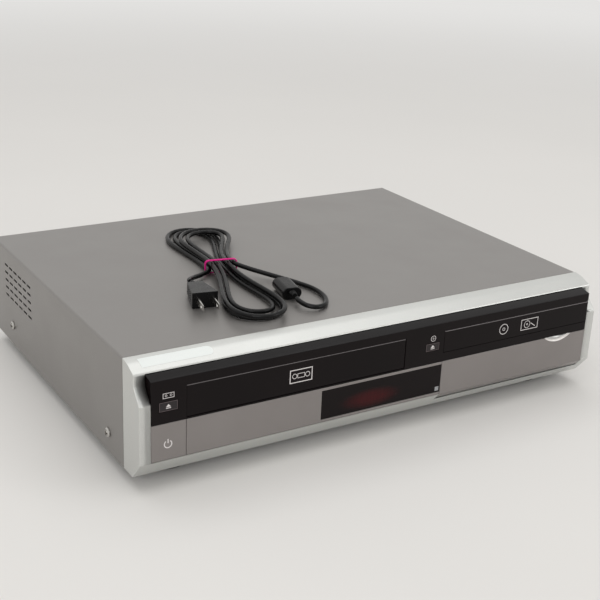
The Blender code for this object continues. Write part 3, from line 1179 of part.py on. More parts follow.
def make_control_door():
    """Drop-down door with a lip that follows the chamfer, hinged on two pins inside the lip."""
    profile = ((0, LOWER_TOP), (0, SILL_TOP), (DOOR_LIP_Y, DOOR_LIP_Z), (LIP_INNER_Y, LIP_INNER_Z),
               (DOOR_WALL, SILL_TOP + 2 * FIT), (DOOR_WALL, LOWER_TOP))
    door = side_outline("control_door", profile, DOOR_LEFT, PANEL_RIGHT, MIRROR_SILVER)
    for end, inward in ((DOOR_LEFT, 1), (PANEL_RIGHT, -1)):
        left, right = sorted((end, end + inward * HINGE_ARM))
        join(door, block("hinge_arm", (left, DOOR_WALL - BITE, HINGE_ARM_LOW),
                         (right, DOOR_WALL - BITE + HINGE_ARM_DEEP, HINGE_ARM_LOW + HINGE_ARM_TALL)),
             round_bar("hinge_boss", ((left + right) / 2, HINGE_Y, HINGE_Z), "x", HINGE_ARM, HINGE_BOSS,
                       None,
                       SMALL_SIDES),
             round_bar("hinge_pin", (end - inward * (HINGE_PIN_LONG - HINGE_ARM) / 2, HINGE_Y, HINGE_Z),
                       "x",
                       HINGE_PIN_LONG + HINGE_ARM / 2, HINGE_PIN, None, SMALL_SIDES))
    radius = (SCOOP_HALF ** 2 + SCOOP_DROP ** 2) / (2 * SCOOP_DROP)
    scoop = round_bar("thumb_scoop", (SCOOP_X, 0, LOWER_TOP - SCOOP_DROP + radius), "y", 2 * SCOOP_DEEP,
                      radius,
                      None, 2 * FINE_SIDES)
    cut(door, scoop)
    seat(door, ((DOOR_LEFT + PANEL_RIGHT) / 2, HINGE_Y, HINGE_Z))


def make_controls():
    """Dark sub-panel behind the door, with its keys, the camera sockets and the card slot."""
    low, high = LOWER_FOOT + PANEL_RIM, LOWER_TOP - PANEL_RIM
    back = PANEL_DEEP
    front = back - SUBPANEL_THICK
    plate = block("control_subpanel", (DOOR_LEFT + SUBPANEL_SIDE, front, low),
                  (PANEL_RIGHT - SUBPANEL_SIDE, back, high),
                  DULL_BLACK)
    holes = [((x - KEY_WIDE / 2 - FIT, front - OVERRUN, z - KEY_TALL / 2 - FIT),
              (x + KEY_WIDE / 2 + FIT, back + OVERRUN, z + KEY_TALL / 2 + FIT)) for x, z in key_places()]
    holes.append(((CARD_X - CARD_WIDE / 2 - FIT, front - OVERRUN, CARD_Z - CARD_THICK / 2 - FIT),
                  (CARD_X + CARD_WIDE / 2 + FIT, back + OVERRUN, CARD_Z + CARD_THICK / 2 + FIT)))
    rings = [(x, (front + back) / 2, z) for x, z in jack_places()]
    cut(plate, blocks("subpanel_holes", holes),
        round_bars("subpanel_rings", rings, "y", SUBPANEL_THICK + 2 * OVERRUN, JACK_RING + FIT,
                   ROUND_SIDES))
    for number, (x, z) in enumerate(key_places(), 1):
        ease(block(f"control_key_{number}", (x - KEY_WIDE / 2, KEY_FRONT, z - KEY_TALL / 2),
                   (x + KEY_WIDE / 2, STEM_END, z + KEY_TALL / 2), SILVER_PLASTIC), KEY_ROUND)
    make_front_sockets()
    card = block("card_slot", (CARD_X - CARD_BODY_WIDE / 2, back + FIT, CARD_Z - CARD_BODY_TALL / 2),
                 (CARD_X + CARD_BODY_WIDE / 2, back + CARD_BODY_LONG, CARD_Z + CARD_BODY_TALL / 2),
                 PLAIN_STEEL)
    cut(card, block("card_mouth", (CARD_X - CARD_WIDE / 2, back - OVERRUN, CARD_Z - CARD_THICK / 2),
                    (CARD_X + CARD_WIDE / 2, back + CARD_DEEP, CARD_Z + CARD_THICK / 2)))


def make_front_sockets():
    """Block of picture and sound sockets on the front board, its rings through the sub-panel."""
    places = jack_places()
    body = block("front_av_sockets",
                 (places[0][0] - JACK_BLOCK_SIDE, PANEL_DEEP + FIT, JACK_Z - JACK_BLOCK_TALL / 2),
                 (places[-1][0] + JACK_BLOCK_SIDE, FRONT_BOARD_Y - FIT, JACK_Z + JACK_BLOCK_TALL / 2),
                 DULL_BLACK)
    long = PANEL_DEEP + FIT + BITE - JACK_FRONT
    for x, z in places:
        join(body, round_bar("socket_ring", (x, JACK_FRONT + long / 2, z), "y", long, JACK_RING))
    bores = [(x, JACK_FRONT, z) for x, z in places]
    cut(body, round_bars("socket_bores", bores, "y", 2 * (long - BITE), JACK_BORE))


def make_boards():
    """Front board with two tabs, main board and power board, each with its larger components."""
    side = SIDE - FRONT_BOARD_SIDE
    left_tab = -side + LEFT_TAB_WIDE
    middle_right = MIDDLE_TAB_LEFT + MIDDLE_TAB_WIDE
    shape = ((-side, FRONT_BOARD_LOW), (-side, TAB_TOP), (left_tab, TAB_TOP), (left_tab, FRONT_BOARD_TOP),
             (MIDDLE_TAB_LEFT, FRONT_BOARD_TOP), (MIDDLE_TAB_LEFT, TAB_TOP), (middle_right, TAB_TOP),
             (middle_right, FRONT_BOARD_TOP), (side, FRONT_BOARD_TOP), (side, FRONT_BOARD_LOW))
    board = outline("front_board", shape, BOARD, (0, FRONT_BOARD_Y + BOARD / 2, 0), BOARD_GREEN,
                    (math.pi / 2, 0, 0))
    cut(board, block("card_notch", (CARD_X - CARD_BODY_WIDE / 2 - FIT, FRONT_BOARD_Y - OVERRUN,
                                    CARD_Z - CARD_BODY_TALL / 2 - FIT),
                     (CARD_X + CARD_BODY_WIDE / 2 + FIT, FRONT_BOARD_Y + BOARD + OVERRUN,
                      FRONT_BOARD_TOP + OVERRUN)))
    for name, left, front, wide, long, parts in (
            ("main_board", MAIN_BOARD_LEFT, MAIN_BOARD_Y, MAIN_BOARD_WIDE, MAIN_BOARD_LONG,
             MAIN_PART_SHARES),
            ("power_board", POWER_BOARD_LEFT, POWER_BOARD_Y, POWER_BOARD_WIDE, POWER_BOARD_LONG,
             POWER_PART_SHARES)):
        made = block(name, (left, front, BOARD_Z), (left + wide, front + long, BOARD_Z + BOARD),
                     BOARD_GREEN)
        for x, y, part_wide, part_long, part_tall in parts:
            low = (left + x * wide, front + y * long, BOARD_Z + BOARD - BITE)
            join(made, block("component", low, (low[0] + part_wide * wide, low[1] + part_long * long,
                                                low[2] + part_tall * COMPONENT_TALL)))


def make_deck_chassis():
    """Pressed plate of the tape deck with its two upright brackets and the pins of both reels."""
    top = DECK_Z + DECK_THICK
    deck = block("vhs_deck_chassis", (DECK_LEFT, DECK_FRONT, DECK_Z), (DECK_RIGHT, DECK_BACK, top),
                 PLAIN_STEEL)
    half = BAY_WIDE / 2 + BAY_WALL + BRACKET_GAP
    for inner, outer in ((BAY_X - half, BAY_X - half - BRACKET), (BAY_X + half, BAY_X + half + BRACKET)):
        join(deck, block("bay_bracket", (min(inner, outer), BAY_FRONT, top - BITE),
                         (max(inner, outer), BAY_FRONT + BAY_LONG, BRACKET_TOP)))
    for x in reel_xs():
        join(deck, round_bar("reel_pin", (x, REEL_Y, (top - BITE + REEL_HUB_TOP) / 2), "z",
                             REEL_HUB_TOP - top + BITE, REEL_BORE - FIT, None, SMALL_SIDES))
    slots = [((BAY_X + hand * half - 2 * OVERRUN, y - GUIDE_PIN - FIT,
               GUIDE_PIN_Z - BAY_DROP - GUIDE_PIN - OVERRUN),
              (BAY_X + hand * half + 2 * OVERRUN, y + GUIDE_PIN + FIT, GUIDE_PIN_Z + GUIDE_PIN + FIT))
             for hand in (-1, 1) for y in (GUIDE_FRONT_Y, GUIDE_REAR_Y)]
    cut(deck, blocks("guide_slots", slots),
        round_bar("capstan_hole", (CAPSTAN_X, CAPSTAN_Y, DECK_Z), "z", 2 * OVERRUN + DECK_THICK,
                  CAPSTAN + FIT,
                  None, SMALL_SIDES))


def reel_xs():
    return BAY_X - REEL_HALF_SPREAD, BAY_X + REEL_HALF_SPREAD


def make_reels():
    """Supply and take-up reel tables, each with a three-winged hub."""
    rest = DECK_Z + DECK_THICK + FIT
    profile = ((REEL_BORE, REEL_HUB_TOP), (REEL_HUB / 2, REEL_HUB_TOP), (REEL_HUB, REEL_HUB_TOP - REEL_HUB),
               (REEL_HUB, REEL_TABLE_Z + REEL_TABLE_TALL), (REEL_TABLE, REEL_TABLE_Z + REEL_TABLE_TALL),
               (REEL_TABLE, REEL_TABLE_Z), (REEL_HUB, REEL_TABLE_Z), (REEL_HUB, rest), (REEL_BORE, rest),
               (REEL_BORE, REEL_HUB_TOP))
    for name, x in zip(("supply_reel", "takeup_reel"), reel_xs()):
        reel = turned(name, [(radius, z - rest) for radius, z in profile], (x, REEL_Y, rest), WHITE_PLASTIC)
        for wing in range(3):
            tool = block("reel_wing",
                         (REEL_HUB - BITE, -BITE, REEL_TABLE_Z - rest + REEL_TABLE_TALL - BITE / 2),
                         (REEL_HUB + OVERRUN, BITE, REEL_HUB_TOP - rest - REEL_HUB))
            tool.data.transform(Matrix.Translation(tool.location))
            tool.location = (x, REEL_Y, rest)
            tool.rotation_euler = (0, 0, wing * math.tau / 3)
            join(reel, tool)


def make_drum():
    """Fixed lower drum on its foot, and the spinning upper drum with the heads, tilted together."""
    tilt = (0, DRUM_TILT, 0)
    height = DRUM_SPLIT_Z - DRUM_LOW_Z
    upper = DRUM_TOP_Z - DRUM_SPLIT_Z
    room = DRUM_SHAFT + DRUM_SHAFT_ROOM
    base = turned("drum_base",
                  ((room, 0), (DRUM_RADIUS, 0), (DRUM_RADIUS, -height), (room, -height), (room, 0)),
                  (DRUM_X, DRUM_Y, DRUM_SPLIT_Z), ALUMINIUM, sides=FINE_SIDES)
    base.rotation_euler = tilt
    foot_top = DECK_Z + DECK_THICK + FIT + DRUM_FOOT_TALL
    join(base, block("drum_foot",
                     (DRUM_X - DRUM_FOOT_HALF, DRUM_Y - DRUM_FOOT_HALF, DECK_Z + DECK_THICK + FIT),
                     (DRUM_X + DRUM_FOOT_HALF, DRUM_Y + DRUM_FOOT_HALF, foot_top)))
    trim = DRUM_RADIUS - DRUM_GROOVE
    head = turned("head_drum",
                  ((0, upper), (trim, upper), (DRUM_RADIUS, upper - DRUM_GROOVE), (DRUM_RADIUS, FIT),
                                (DRUM_SHAFT, FIT), (DRUM_SHAFT, -height / 2), (0, -height / 2)),
                  (DRUM_X, DRUM_Y, DRUM_SPLIT_Z), CHROME, sides=FINE_SIDES)
    head.rotation_euler = tilt


def make_capstan():
    """Flywheel under the deck, with the capstan that rises through it."""
    top = CAPSTAN_TOP - FLYWHEEL_Z
    turned("capstan_flywheel",
           ((0, top), (CAPSTAN, top), (CAPSTAN, FLYWHEEL_TALL), (FLYWHEEL, FLYWHEEL_TALL),
                                (FLYWHEEL, 0), (0, 0)), (CAPSTAN_X, CAPSTAN_Y, FLYWHEEL_Z), ALUMINIUM)


def make_carriage():
    """Cassette carriage: a floor with two reel holes, two sides, a bridge and four guide pins."""
    left, right = BAY_X - BAY_WIDE / 2 - BAY_WALL, BAY_X + BAY_WIDE / 2 + BAY_WALL
    back, top = BAY_FRONT + BAY_LONG, BAY_FLOOR_TOP + BAY_TALL
    floor = BAY_FLOOR_TOP - BAY_FLOOR
    bay = block("cassette_carriage", (left, BAY_FRONT, floor), (right, back, BAY_FLOOR_TOP), PLAIN_STEEL)
    for near, far in ((left, left + BAY_WALL), (right - BAY_WALL, right)):
        join(bay, block("bay_side", (near, BAY_FRONT, floor), (far, back, top + BAY_FLOOR)))
    join(bay, block("bay_bridge", (left, BAY_BRIDGE_Y, top),
                    (right, BAY_BRIDGE_Y + BAY_BRIDGE_LONG, top + BAY_FLOOR)))
    for end, outward in ((left, -1), (right, 1)):
        for y in (GUIDE_FRONT_Y, GUIDE_REAR_Y):
            reach = BRACKET_GAP + BRACKET / 2
            join(bay, round_bar("guide_pin", (end + outward * (reach - BITE) / 2, y, GUIDE_PIN_Z), "x",
                                reach + BITE, GUIDE_PIN, None, SMALL_SIDES))
    holes = [(x, REEL_Y, BAY_FLOOR_TOP) for x in reel_xs()]
    cut(bay, round_bars("reel_openings", holes, "z", 2 * OVERRUN, REEL_FLOOR_HOLE, ROUND_SIDES))


def make_drive_housing():
    """Sheet tunnel over the disc drive, open at the front, with a runner over and under each tray edge."""
    low = (DRIVE_LEFT, DRIVE_FRONT, DRIVE_LOW)
    high = (DRIVE_RIGHT, DRIVE_BACK, DRIVE_TOP)
    shell = block("drive_housing", low, high, PLAIN_STEEL)
    inner_left, inner_right = DRIVE_LEFT + DRIVE_WALL, DRIVE_RIGHT - DRIVE_WALL
    tunnel = block("drive_tunnel", (inner_left, DRIVE_FRONT - OVERRUN, DRIVE_LOW + DRIVE_WALL),
                   (inner_right, DRIVE_BACK - DRIVE_WALL, DRIVE_TOP - DRIVE_WALL))
    eye = round_bar("clamp_eye", (TRAY_X, DISC_Y, DRIVE_TOP), "z", 2 * OVERRUN, CLAMP_RADIUS + FIT)
    cut(shell, tunnel, eye)
    for near, far in ((inner_left - BITE, TRAY_X - TRAY_WIDE / 2 + RUNNER_LAP),
                      (TRAY_X + TRAY_WIDE / 2 - RUNNER_LAP, inner_right + BITE)):
        for z in (TRAY_Z - FIT - RUNNER, TRAY_Z + TRAY_THICK + FIT):
            join(shell, block("tray_runner", (near, DRIVE_FRONT + OVERRUN, z),
                              (far, RUNNER_BACK, z + RUNNER)))
    foot = DRIVE_LOW + DRIVE_WALL - BITE
    for name, top, radius in (("pinion_seat", pinion_low() - FIT, PINION_SEAT),
                              ("pinion_pin", pinion_low() + PINION_TALL - FIT, PINION_BORE - FIT)):
        join(shell, round_bar(name, (pinion_place(), PINION_Y, (foot + top) / 2), "z", top - foot, radius,
                              None,
                              SMALL_SIDES))


def pinion_place():
    return TRAY_X - TRAY_WIDE / 2 + RACK_INSET + RACK_WIDE + FIT + PINION_RADIUS


def pinion_low():
    return TRAY_Z - FIT - PINION_TALL


def make_pinion():
    """Toothed pinion that drives the tray's rack, with its origin on its own pin."""
    points = []
    for step in range(4 * PINION_TEETH):
        radius = PINION_RADIUS - (PINION_TOOTH if step % 4 > 1 else 0)
        angle = step * math.tau / (4 * PINION_TEETH)
        points.append((radius * math.cos(angle), radius * math.sin(angle)))
    z = pinion_low() + PINION_TALL / 2
    gear = outline("tray_pinion", points, PINION_TALL, (pinion_place(), PINION_Y, z), WHITE_PLASTIC)
    cut(gear, round_bar("pinion_bore", (pinion_place(), PINION_Y, z), "z", PINION_TALL + 2 * OVERRUN,
                        PINION_BORE,
                        None, SMALL_SIDES))


def make_traverse():
    """Frame under the tray with two guide rails for the pickup and the spindle motor's body."""
    low = DRIVE_LOW + DRIVE_WALL + FIT
    top = low + TRAVERSE_THICK
    frame = block("pickup_traverse", (TRAY_X - TRAVERSE_SIDE, TRAVERSE_FRONT, low),
                  (TRAY_X + TRAVERSE_SIDE, TRAVERSE_BACK, top), PLAIN_STEEL)
    cut(frame, block("traverse_eye",
                     (TRAY_X - TRAVERSE_HOLE_SIDE + RAIL_BLOCK, TRAVERSE_HOLE_FRONT, low - OVERRUN),
                     (TRAY_X + TRAVERSE_HOLE_SIDE - RAIL_BLOCK, TRAVERSE_HOLE_BACK, top + OVERRUN)))
    for hand in (-1, 1):
        x = TRAY_X + hand * RAIL_SIDE
        for y in (TRAVERSE_HOLE_FRONT - RAIL_BLOCK, TRAVERSE_HOLE_BACK + RAIL_BLOCK / 2):
            join(frame, block("rail_block", (x - RAIL_BLOCK / 2, y - RAIL_BLOCK / 2, top - BITE),
                              (x + RAIL_BLOCK / 2, y + RAIL_BLOCK / 2, top + RAIL_BLOCK_TALL)))
        join(frame, round_bar("guide_rail",
                              (x, (TRAVERSE_HOLE_FRONT - RAIL_BLOCK / 2 + TRAVERSE_HOLE_BACK) / 2, RAIL_Z),
                              "y", TRAVERSE_HOLE_BACK - TRAVERSE_HOLE_FRONT + RAIL_BLOCK, RAIL, None,
                              SMALL_SIDES))
    join(frame, round_bar("motor_body", (TRAY_X, DISC_Y, (top + MOTOR_TOP - BITE) / 2), "z",
                          MOTOR_TOP - top + BITE,
                          MOTOR_RADIUS))
    cut(frame, round_bar("motor_bore", (TRAY_X, DISC_Y, MOTOR_TOP), "z", 2 * (MOTOR_TOP - top),
                         SPINDLE_SHAFT + FIT,
                         None, SMALL_SIDES))


def make_spindle():
    """Turntable with its centring hub, on a shaft down into the motor."""
    rest = MOTOR_TOP + FIT
    profile = ((0, TURNTABLE_TALL + HUB_TALL), (HUB_RADIUS / 2, TURNTABLE_TALL + HUB_TALL),
               (HUB_RADIUS, TURNTABLE_TALL), (TURNTABLE, TURNTABLE_TALL), (TURNTABLE, 0),
               (SPINDLE_SHAFT, 0),
               (SPINDLE_SHAFT, SPINDLE_FOOT - rest), (0, SPINDLE_FOOT - rest))
    turned("drive_spindle", profile, (TRAY_X, DISC_Y, rest), DULL_BLACK)


def make_pickup():
    """Laser pickup on the two rails, its lens a set lead behind the front of its body."""
    middle = PICKUP_Y + PICKUP_LONG / 2
    body = block("optical_pickup", (TRAY_X - PICKUP_HALF_WIDE, PICKUP_Y, PICKUP_LOW),
                 (TRAY_X + PICKUP_HALF_WIDE, PICKUP_Y + PICKUP_LONG, PICKUP_TOP), ALUMINIUM)
    join(body, round_bar("lens", (TRAY_X, PICKUP_Y + LENS_LEAD, PICKUP_TOP), "z", 2 * LENS_TALL, LENS, None,
                         SMALL_SIDES))
    bores = [(TRAY_X + hand * RAIL_SIDE, middle, RAIL_Z) for hand in (-1, 1)]
    cut(body, round_bars("rail_bores", bores, "y", PICKUP_LONG + 2 * OVERRUN, PICKUP_BORE))


def make_clamp():
    """Magnetic disc clamp that hangs in the housing's roof by its flange."""
    flange = DRIVE_TOP + FIT
    profile = ((0, CLAMP_FLANGE_TALL), (CLAMP_FLANGE, CLAMP_FLANGE_TALL), (CLAMP_FLANGE, 0),
               (CLAMP_RADIUS, 0),
               (CLAMP_RADIUS, CLAMP_LOW - flange), (HUB_RADIUS + FIT, CLAMP_LOW - flange),
               (HUB_RADIUS + FIT, CLAMP_LOW - flange + HUB_TALL), (0, CLAMP_LOW - flange + HUB_TALL))
    turned("disc_clamp", profile, (TRAY_X, DISC_Y, flange), WHITE_PLASTIC)


def make_hard_disk():
    """Hard disk with its raised lid."""
    left, front, top = HARD_DISK_LEFT, HARD_DISK_Y, HARD_DISK_Z + HARD_DISK_TALL
    disk = block("hard_disk", (left, front, HARD_DISK_Z),
                 (left + HARD_DISK_WIDE, front + HARD_DISK_LONG, top - HARD_DISK_STEP), ALUMINIUM)
    join(disk, block("disk_lid",
                     (left + HARD_DISK_STEP, front + HARD_DISK_STEP, top - HARD_DISK_STEP - BITE),
                     (left + HARD_DISK_WIDE - HARD_DISK_STEP, front + HARD_DISK_LONG - HARD_DISK_STEP,
                      top)))


def make_fan():
    """Square fan frame against the rear panel, and its rotor on a pin."""
    back = REAR_Y - FIT
    front = back - FAN_THICK
    frame = block("fan_frame", (FAN_X - FAN / 2, front, FAN_Z - FAN / 2),
                  (FAN_X + FAN / 2, back, FAN_Z + FAN / 2),
                  DULL_BLACK)
    cut(frame, round_bar("fan_bore", (FAN_X, (front + back) / 2, FAN_Z), "y", FAN_THICK + 2 * OVERRUN,
                         FAN_BORE,
                         None, FINE_SIDES))
    reach = FAN_BORE + BITE
    join(frame, block("fan_spoke", (FAN_X - reach, front, FAN_Z - FAN_SPOKE),
                      (FAN_X + reach, front + SHEET, FAN_Z + FAN_SPOKE)),
         block("fan_post", (FAN_X - FAN_SPOKE, front, FAN_Z - reach),
               (FAN_X + FAN_SPOKE, front + SHEET, FAN_Z + reach)),
         round_bar("fan_pin", (FAN_X, front + (FAN_THICK - SHEET) / 2, FAN_Z), "y", FAN_THICK - 2 * SHEET,
                   FAN_PIN, None,
                   SMALL_SIDES))
    room = FAN_PIN + FIT
    hub_front, hub_back = front + SHEET + FIT, back - SHEET
    long = hub_back - hub_front
    middle = (hub_front + hub_back) / 2
    rotor = turned("fan_rotor",
                   ((room, long / 2), (FAN_HUB, long / 2), (FAN_HUB, -long / 2), (room, -long / 2),
                                 (room, long / 2)), (FAN_X, middle, FAN_Z), DULL_BLACK)
    rotor.rotation_euler = (math.pi / 2, 0, 0)
    for number in range(FAN_BLADES):
        blade = block("fan_blade", (FAN_HUB - BITE, -FAN_BLADE_THICK / 2, -long / 2),
                      (FAN_BLADE, FAN_BLADE_THICK / 2, long / 2))
        middle_x = blade.location.x
        blade.data.transform(Matrix.Rotation(number * math.tau / FAN_BLADES, 4, "Z")
                             @ Matrix.Translation((middle_x, 0, 0)) @ Matrix.Rotation(FAN_BLADE_PITCH, 4,
                                                                                      "X")
                             @ Matrix.Diagonal((1, 1, math.cos(FAN_BLADE_PITCH), 1)))
        blade.location = (FAN_X, middle, FAN_Z)
        blade.rotation_euler = (math.pi / 2, 0, 0)
        join(rotor, blade)


def make_aerial_block():
    """Screened can with two threaded aerial sockets."""
    left, back = AERIAL_X - AERIAL_WIDE / 2, REAR_Y + SHEET + FIT
    can = block("aerial_sockets", (left, back - AERIAL_LONG, AERIAL_Z),
                (left + AERIAL_WIDE, back, AERIAL_Z + AERIAL_TALL), PLAIN_STEEL)
    long = TOTAL_DEPTH - back + BITE
    middle = AERIAL_Z + AERIAL_TALL / 2
    for z in (middle - AERIAL_PITCH / 2, middle + AERIAL_PITCH / 2):
        join(can, round_bar("aerial_thread", (AERIAL_X, TOTAL_DEPTH - long / 2, z), "y", long,
                            AERIAL_THREAD))
        cut(can, round_bar("aerial_bore", (AERIAL_X, TOTAL_DEPTH, z), "y", long, AERIAL_PIN, None,
                           SMALL_SIDES))


def make_av_sockets():
    """Rear socket block: rows of ringed sockets, with two flat digital ports below them."""
    left, back = SOCKETS_LEFT, REAR_Y + SHEET + FIT
    body = block("rear_av_sockets", (left, back - SOCKETS_LONG, SOCKETS_Z),
                 (left + SOCKETS_WIDE, back, SOCKETS_Z + SOCKETS_TALL), DULL_BLACK)
    places = [(left + (column + 1 / 2) * SOCKET_PITCH_X + SOCKET_RING,
               SOCKETS_Z + (row + 1 / 2) * SOCKET_PITCH_Z + SOCKET_RING / 2)
              for column in range(SOCKET_COLUMNS) for row in range(SOCKET_ROWS)]
    for x, z in places:
        join(body, round_bar("rear_ring", (x, back + SOCKET_STAND / 2 - BITE / 2, z), "y",
                             SOCKET_STAND + BITE, SOCKET_RING, None, SMALL_SIDES))
    port_left = left + SOCKETS_WIDE - PORT_WIDE - SOCKET_RING / 2
    ports = [((port_left, back - PORT_DEEP, z), (port_left + PORT_WIDE, back + OVERRUN, z + PORT_TALL))
             for z in (SOCKETS_Z + PORT_TALL, SOCKETS_Z + SOCKETS_TALL - 2 * PORT_TALL)]
    bores = [(x, back + SOCKET_STAND, z) for x, z in places]
    cut(body, round_bars("rear_bores", bores, "y", 2 * SOCKET_STAND, JACK_BORE, FEW_SIDES),
        blocks("ports", ports))


def make_mains_inlet():
    """Two-pin mains inlet: a flanged block with an oval recess and its two pins."""
    back = REAR_Y + SHEET + FIT
    body = block("mains_inlet", (INLET_X - INLET_WIDE / 2, back - INLET_LONG, INLET_Z - INLET_TALL / 2),
                 (INLET_X + INLET_WIDE / 2, back + BITE, INLET_Z + INLET_TALL / 2), DULL_BLACK)
    join(body, block("inlet_flange",
                     (INLET_X - INLET_WIDE / 2 - INLET_FLANGE, back,
                      INLET_Z - INLET_TALL / 2 - INLET_FLANGE),
                     (INLET_X + INLET_WIDE / 2 + INLET_FLANGE, back + INLET_FLANGE_THICK,
                      INLET_Z + INLET_TALL / 2 + INLET_FLANGE)))
    face = back + INLET_FLANGE_THICK
    long = INLET_DEEP + OVERRUN
    points = stadium(INLET_MOUTH_HALF, INLET_MOUTH_ROUND)
    cut(body, outline("inlet_mouth", points, long, (INLET_X, face + OVERRUN - long / 2, INLET_Z), None,
                      (math.pi / 2, 0, 0)))
    pin = INLET_DEEP - INLET_PIN_SHORT + BITE
    for hand in (-1, 1):
        join(body, round_bar("inlet_pin",
                             (INLET_X + hand * INLET_MOUTH_HALF, face - INLET_DEEP - BITE + pin / 2,
                              INLET_Z), "y", pin, INLET_PIN,
                             None, SMALL_SIDES))


def stadium(half, radius):
    """A flat oval: two half circles whose middles lie half from the centre."""
    points = []
    for end, start in ((half, -math.pi / 2), (-half, math.pi / 2)):
        for step in range(SMALL_SIDES // 2 + 1):
            angle = start + step * math.tau / SMALL_SIDES
            points.append((end + radius * math.cos(angle), radius * math.sin(angle)))
    return points


def hank_place(along, across, lift):
    """A point on the lid from its place along and across the hank and its lift above the lowest run."""
    sine, cosine = math.sin(HANK_TURN), math.cos(HANK_TURN)
    return Vector((HANK_X + along * sine + across * cosine, HANK_Y + along * cosine - across * sine,
                   HEIGHT + FIT + LEAD / 2 + lift))


def lobe_point(angle):
    """Centre of the inmost loop: two lobes drawn in at the waist, the front one a little broader."""
    waist = LEAD_PITCH / 2
    broad, narrow = (HANK_BROAD + waist) / 2, (HANK_BROAD - waist) / 2
    across = broad * math.sin(angle) + narrow * math.sin(3 * angle)
    across *= 1 - HANK_LEAN_SHARE * math.cos(angle)
    return Vector((HANK_REACH * math.cos(angle), across))


def hank_point(turn):
    """Centre of the lead after some turns: it spirals in on the lower layer and out again on the upper.

    Its bends spread out away from the waist, and those of the upper layer stray from the lower."""
    angle = math.tau * (turn + 3 / 4)
    step = math.tau / (LEAD_TURN_POINTS ** 2)
    ahead = lobe_point(angle + step) - lobe_point(angle - step)
    outward = Vector((ahead.y, -ahead.x)).normalized()
    flat = lobe_point(angle)
    bend = (flat.x / HANK_REACH) ** 2
    flat += outward * LEAD_PITCH * abs(turn - LEAD_TURNS / 2) * (1 + LOOP_SPREAD_SHARE * bend)
    if turn > LEAD_TURNS / 2 + 1 / 4:
        flat += Vector(FRONT_STRAY if flat.x < 0 else REAR_STRAY) * bend
    climb = min(max(2 * (turn - LEAD_TURNS / 2) + 1 / 2, 0), 1)
    layer = LEAD_PITCH * climb * climb * (3 - 2 * climb)
    return hank_place(flat.x, flat.y, layer + waist_rise(flat.x))


def waist_rise(along):
    """How far the tie's wire lifts the lead off the lid, fading away from the waist."""
    return (TIE_WIRE + TIE_GAP) * math.exp(-((along / TIE_RISE_LONG) ** 2))


def smooth_run(points, before, after):
    """Points on a smooth curve through the given ones, which are kept, by Catmull and Rom's rule."""
    chain = [before] + points + [after]
    run = []
    for a, b, c, d in zip(chain, chain[1:], chain[2:], chain[3:]):
        for part in range(TAIL_PARTS):
            t = part / TAIL_PARTS
            run.append((2 * b + (c - a) * t + (2 * a - 5 * b + 4 * c - d) * t * t
                        + (3 * b - a - 3 * c + d) * t ** 3) / 2)
    return run + [points[-1]]


def lead_route():
    """Centre line of the whole lead, from the plug through its turns to the coupler."""
    turns = [hank_point(step / LEAD_TURN_POINTS)
             for step in range(round(LEAD_TURNS * LEAD_TURN_POINTS) + 1)]
    plug_end = [hank_place(*spot) for spot in PLUG_TAIL] + turns[:1]
    coupler_end = turns[-1:] + [hank_place(*spot) for spot in COUPLER_TAIL]
    first = smooth_run(plug_end, 2 * plug_end[0] - plug_end[1], turns[1])
    last = smooth_run(coupler_end, turns[-2], 2 * coupler_end[-1] - coupler_end[-2])
    return first + turns[1:-1] + last


def least_gap(route):
    """Smallest clear distance between two stretches of the lead that aren't neighbours along it."""
    dense = []
    for start, end in zip(route, route[1:]):
        parts = max(1, math.ceil((end - start).length / LEAD))
        dense += [start.lerp(end, part / parts) for part in range(parts)]
    return min((a - b).length for i, a in enumerate(dense) for b in dense[i + NEIGHBOURS:]) - LEAD


def tube(name, route, radius, look, ring=False):
    drawn = bpy.data.curves.new(name, "CURVE")
    drawn.dimensions = "3D"
    drawn.bevel_depth = radius
    drawn.bevel_resolution = 1
    drawn.use_fill_caps = True
    spline = drawn.splines.new("POLY")
    spline.points.add(len(route) - 1)
    for knot, point in zip(spline.points, route):
        knot.co = (*point, 1)
    spline.use_cyclic_u = ring
    return put(name, drawn, (0, 0, 0), look)


def lay(made, along, across, lift):
    """Takes a piece that was built about the origin to its place on the lid, in line with the hank."""
    made.data.transform(made.matrix_basis)
    made.location = hank_place(along, across, lift)
    made.rotation_euler = (0, 0, -HANK_TURN)
    return made


def make_lead():
    """The lead itself, its twist tie, its two-blade plug and its oval coupler."""
    route = lead_route()
    print("least gap of the lead to itself, mm:", round(least_gap(route) * MM_PER_METRE, 2))
    length = sum((b - a).length for a, b in zip(route, route[1:]))
    print("length of the lead, m:", round(length, 3))
    tube("mains_lead", route, LEAD / 2, RUBBER_BLACK)
    make_tie()
    make_plug()
    make_coupler()


def make_tie():
    round_corner = LEAD / 2 + TIE_GAP + TIE_WIRE / 2
    side = LEAD_PITCH / 2 + LEAD_PITCH * LEAD_TURNS / 2
    middle = waist_rise(0) + LEAD_PITCH / 2
    ring = []
    for corner, (across, up) in enumerate(((1, 1), (-1, 1), (-1, -1), (1, -1))):
        for step in range(5):
            angle = (corner + step / 4) * math.pi / 2
            ring.append(hank_place(0, across * side + round_corner * math.cos(angle),
                                   middle + up * LEAD_PITCH / 2 + round_corner * math.sin(angle)))
    tube("lead_tie", ring, TIE_WIRE / 2, TIE_PINK, True)


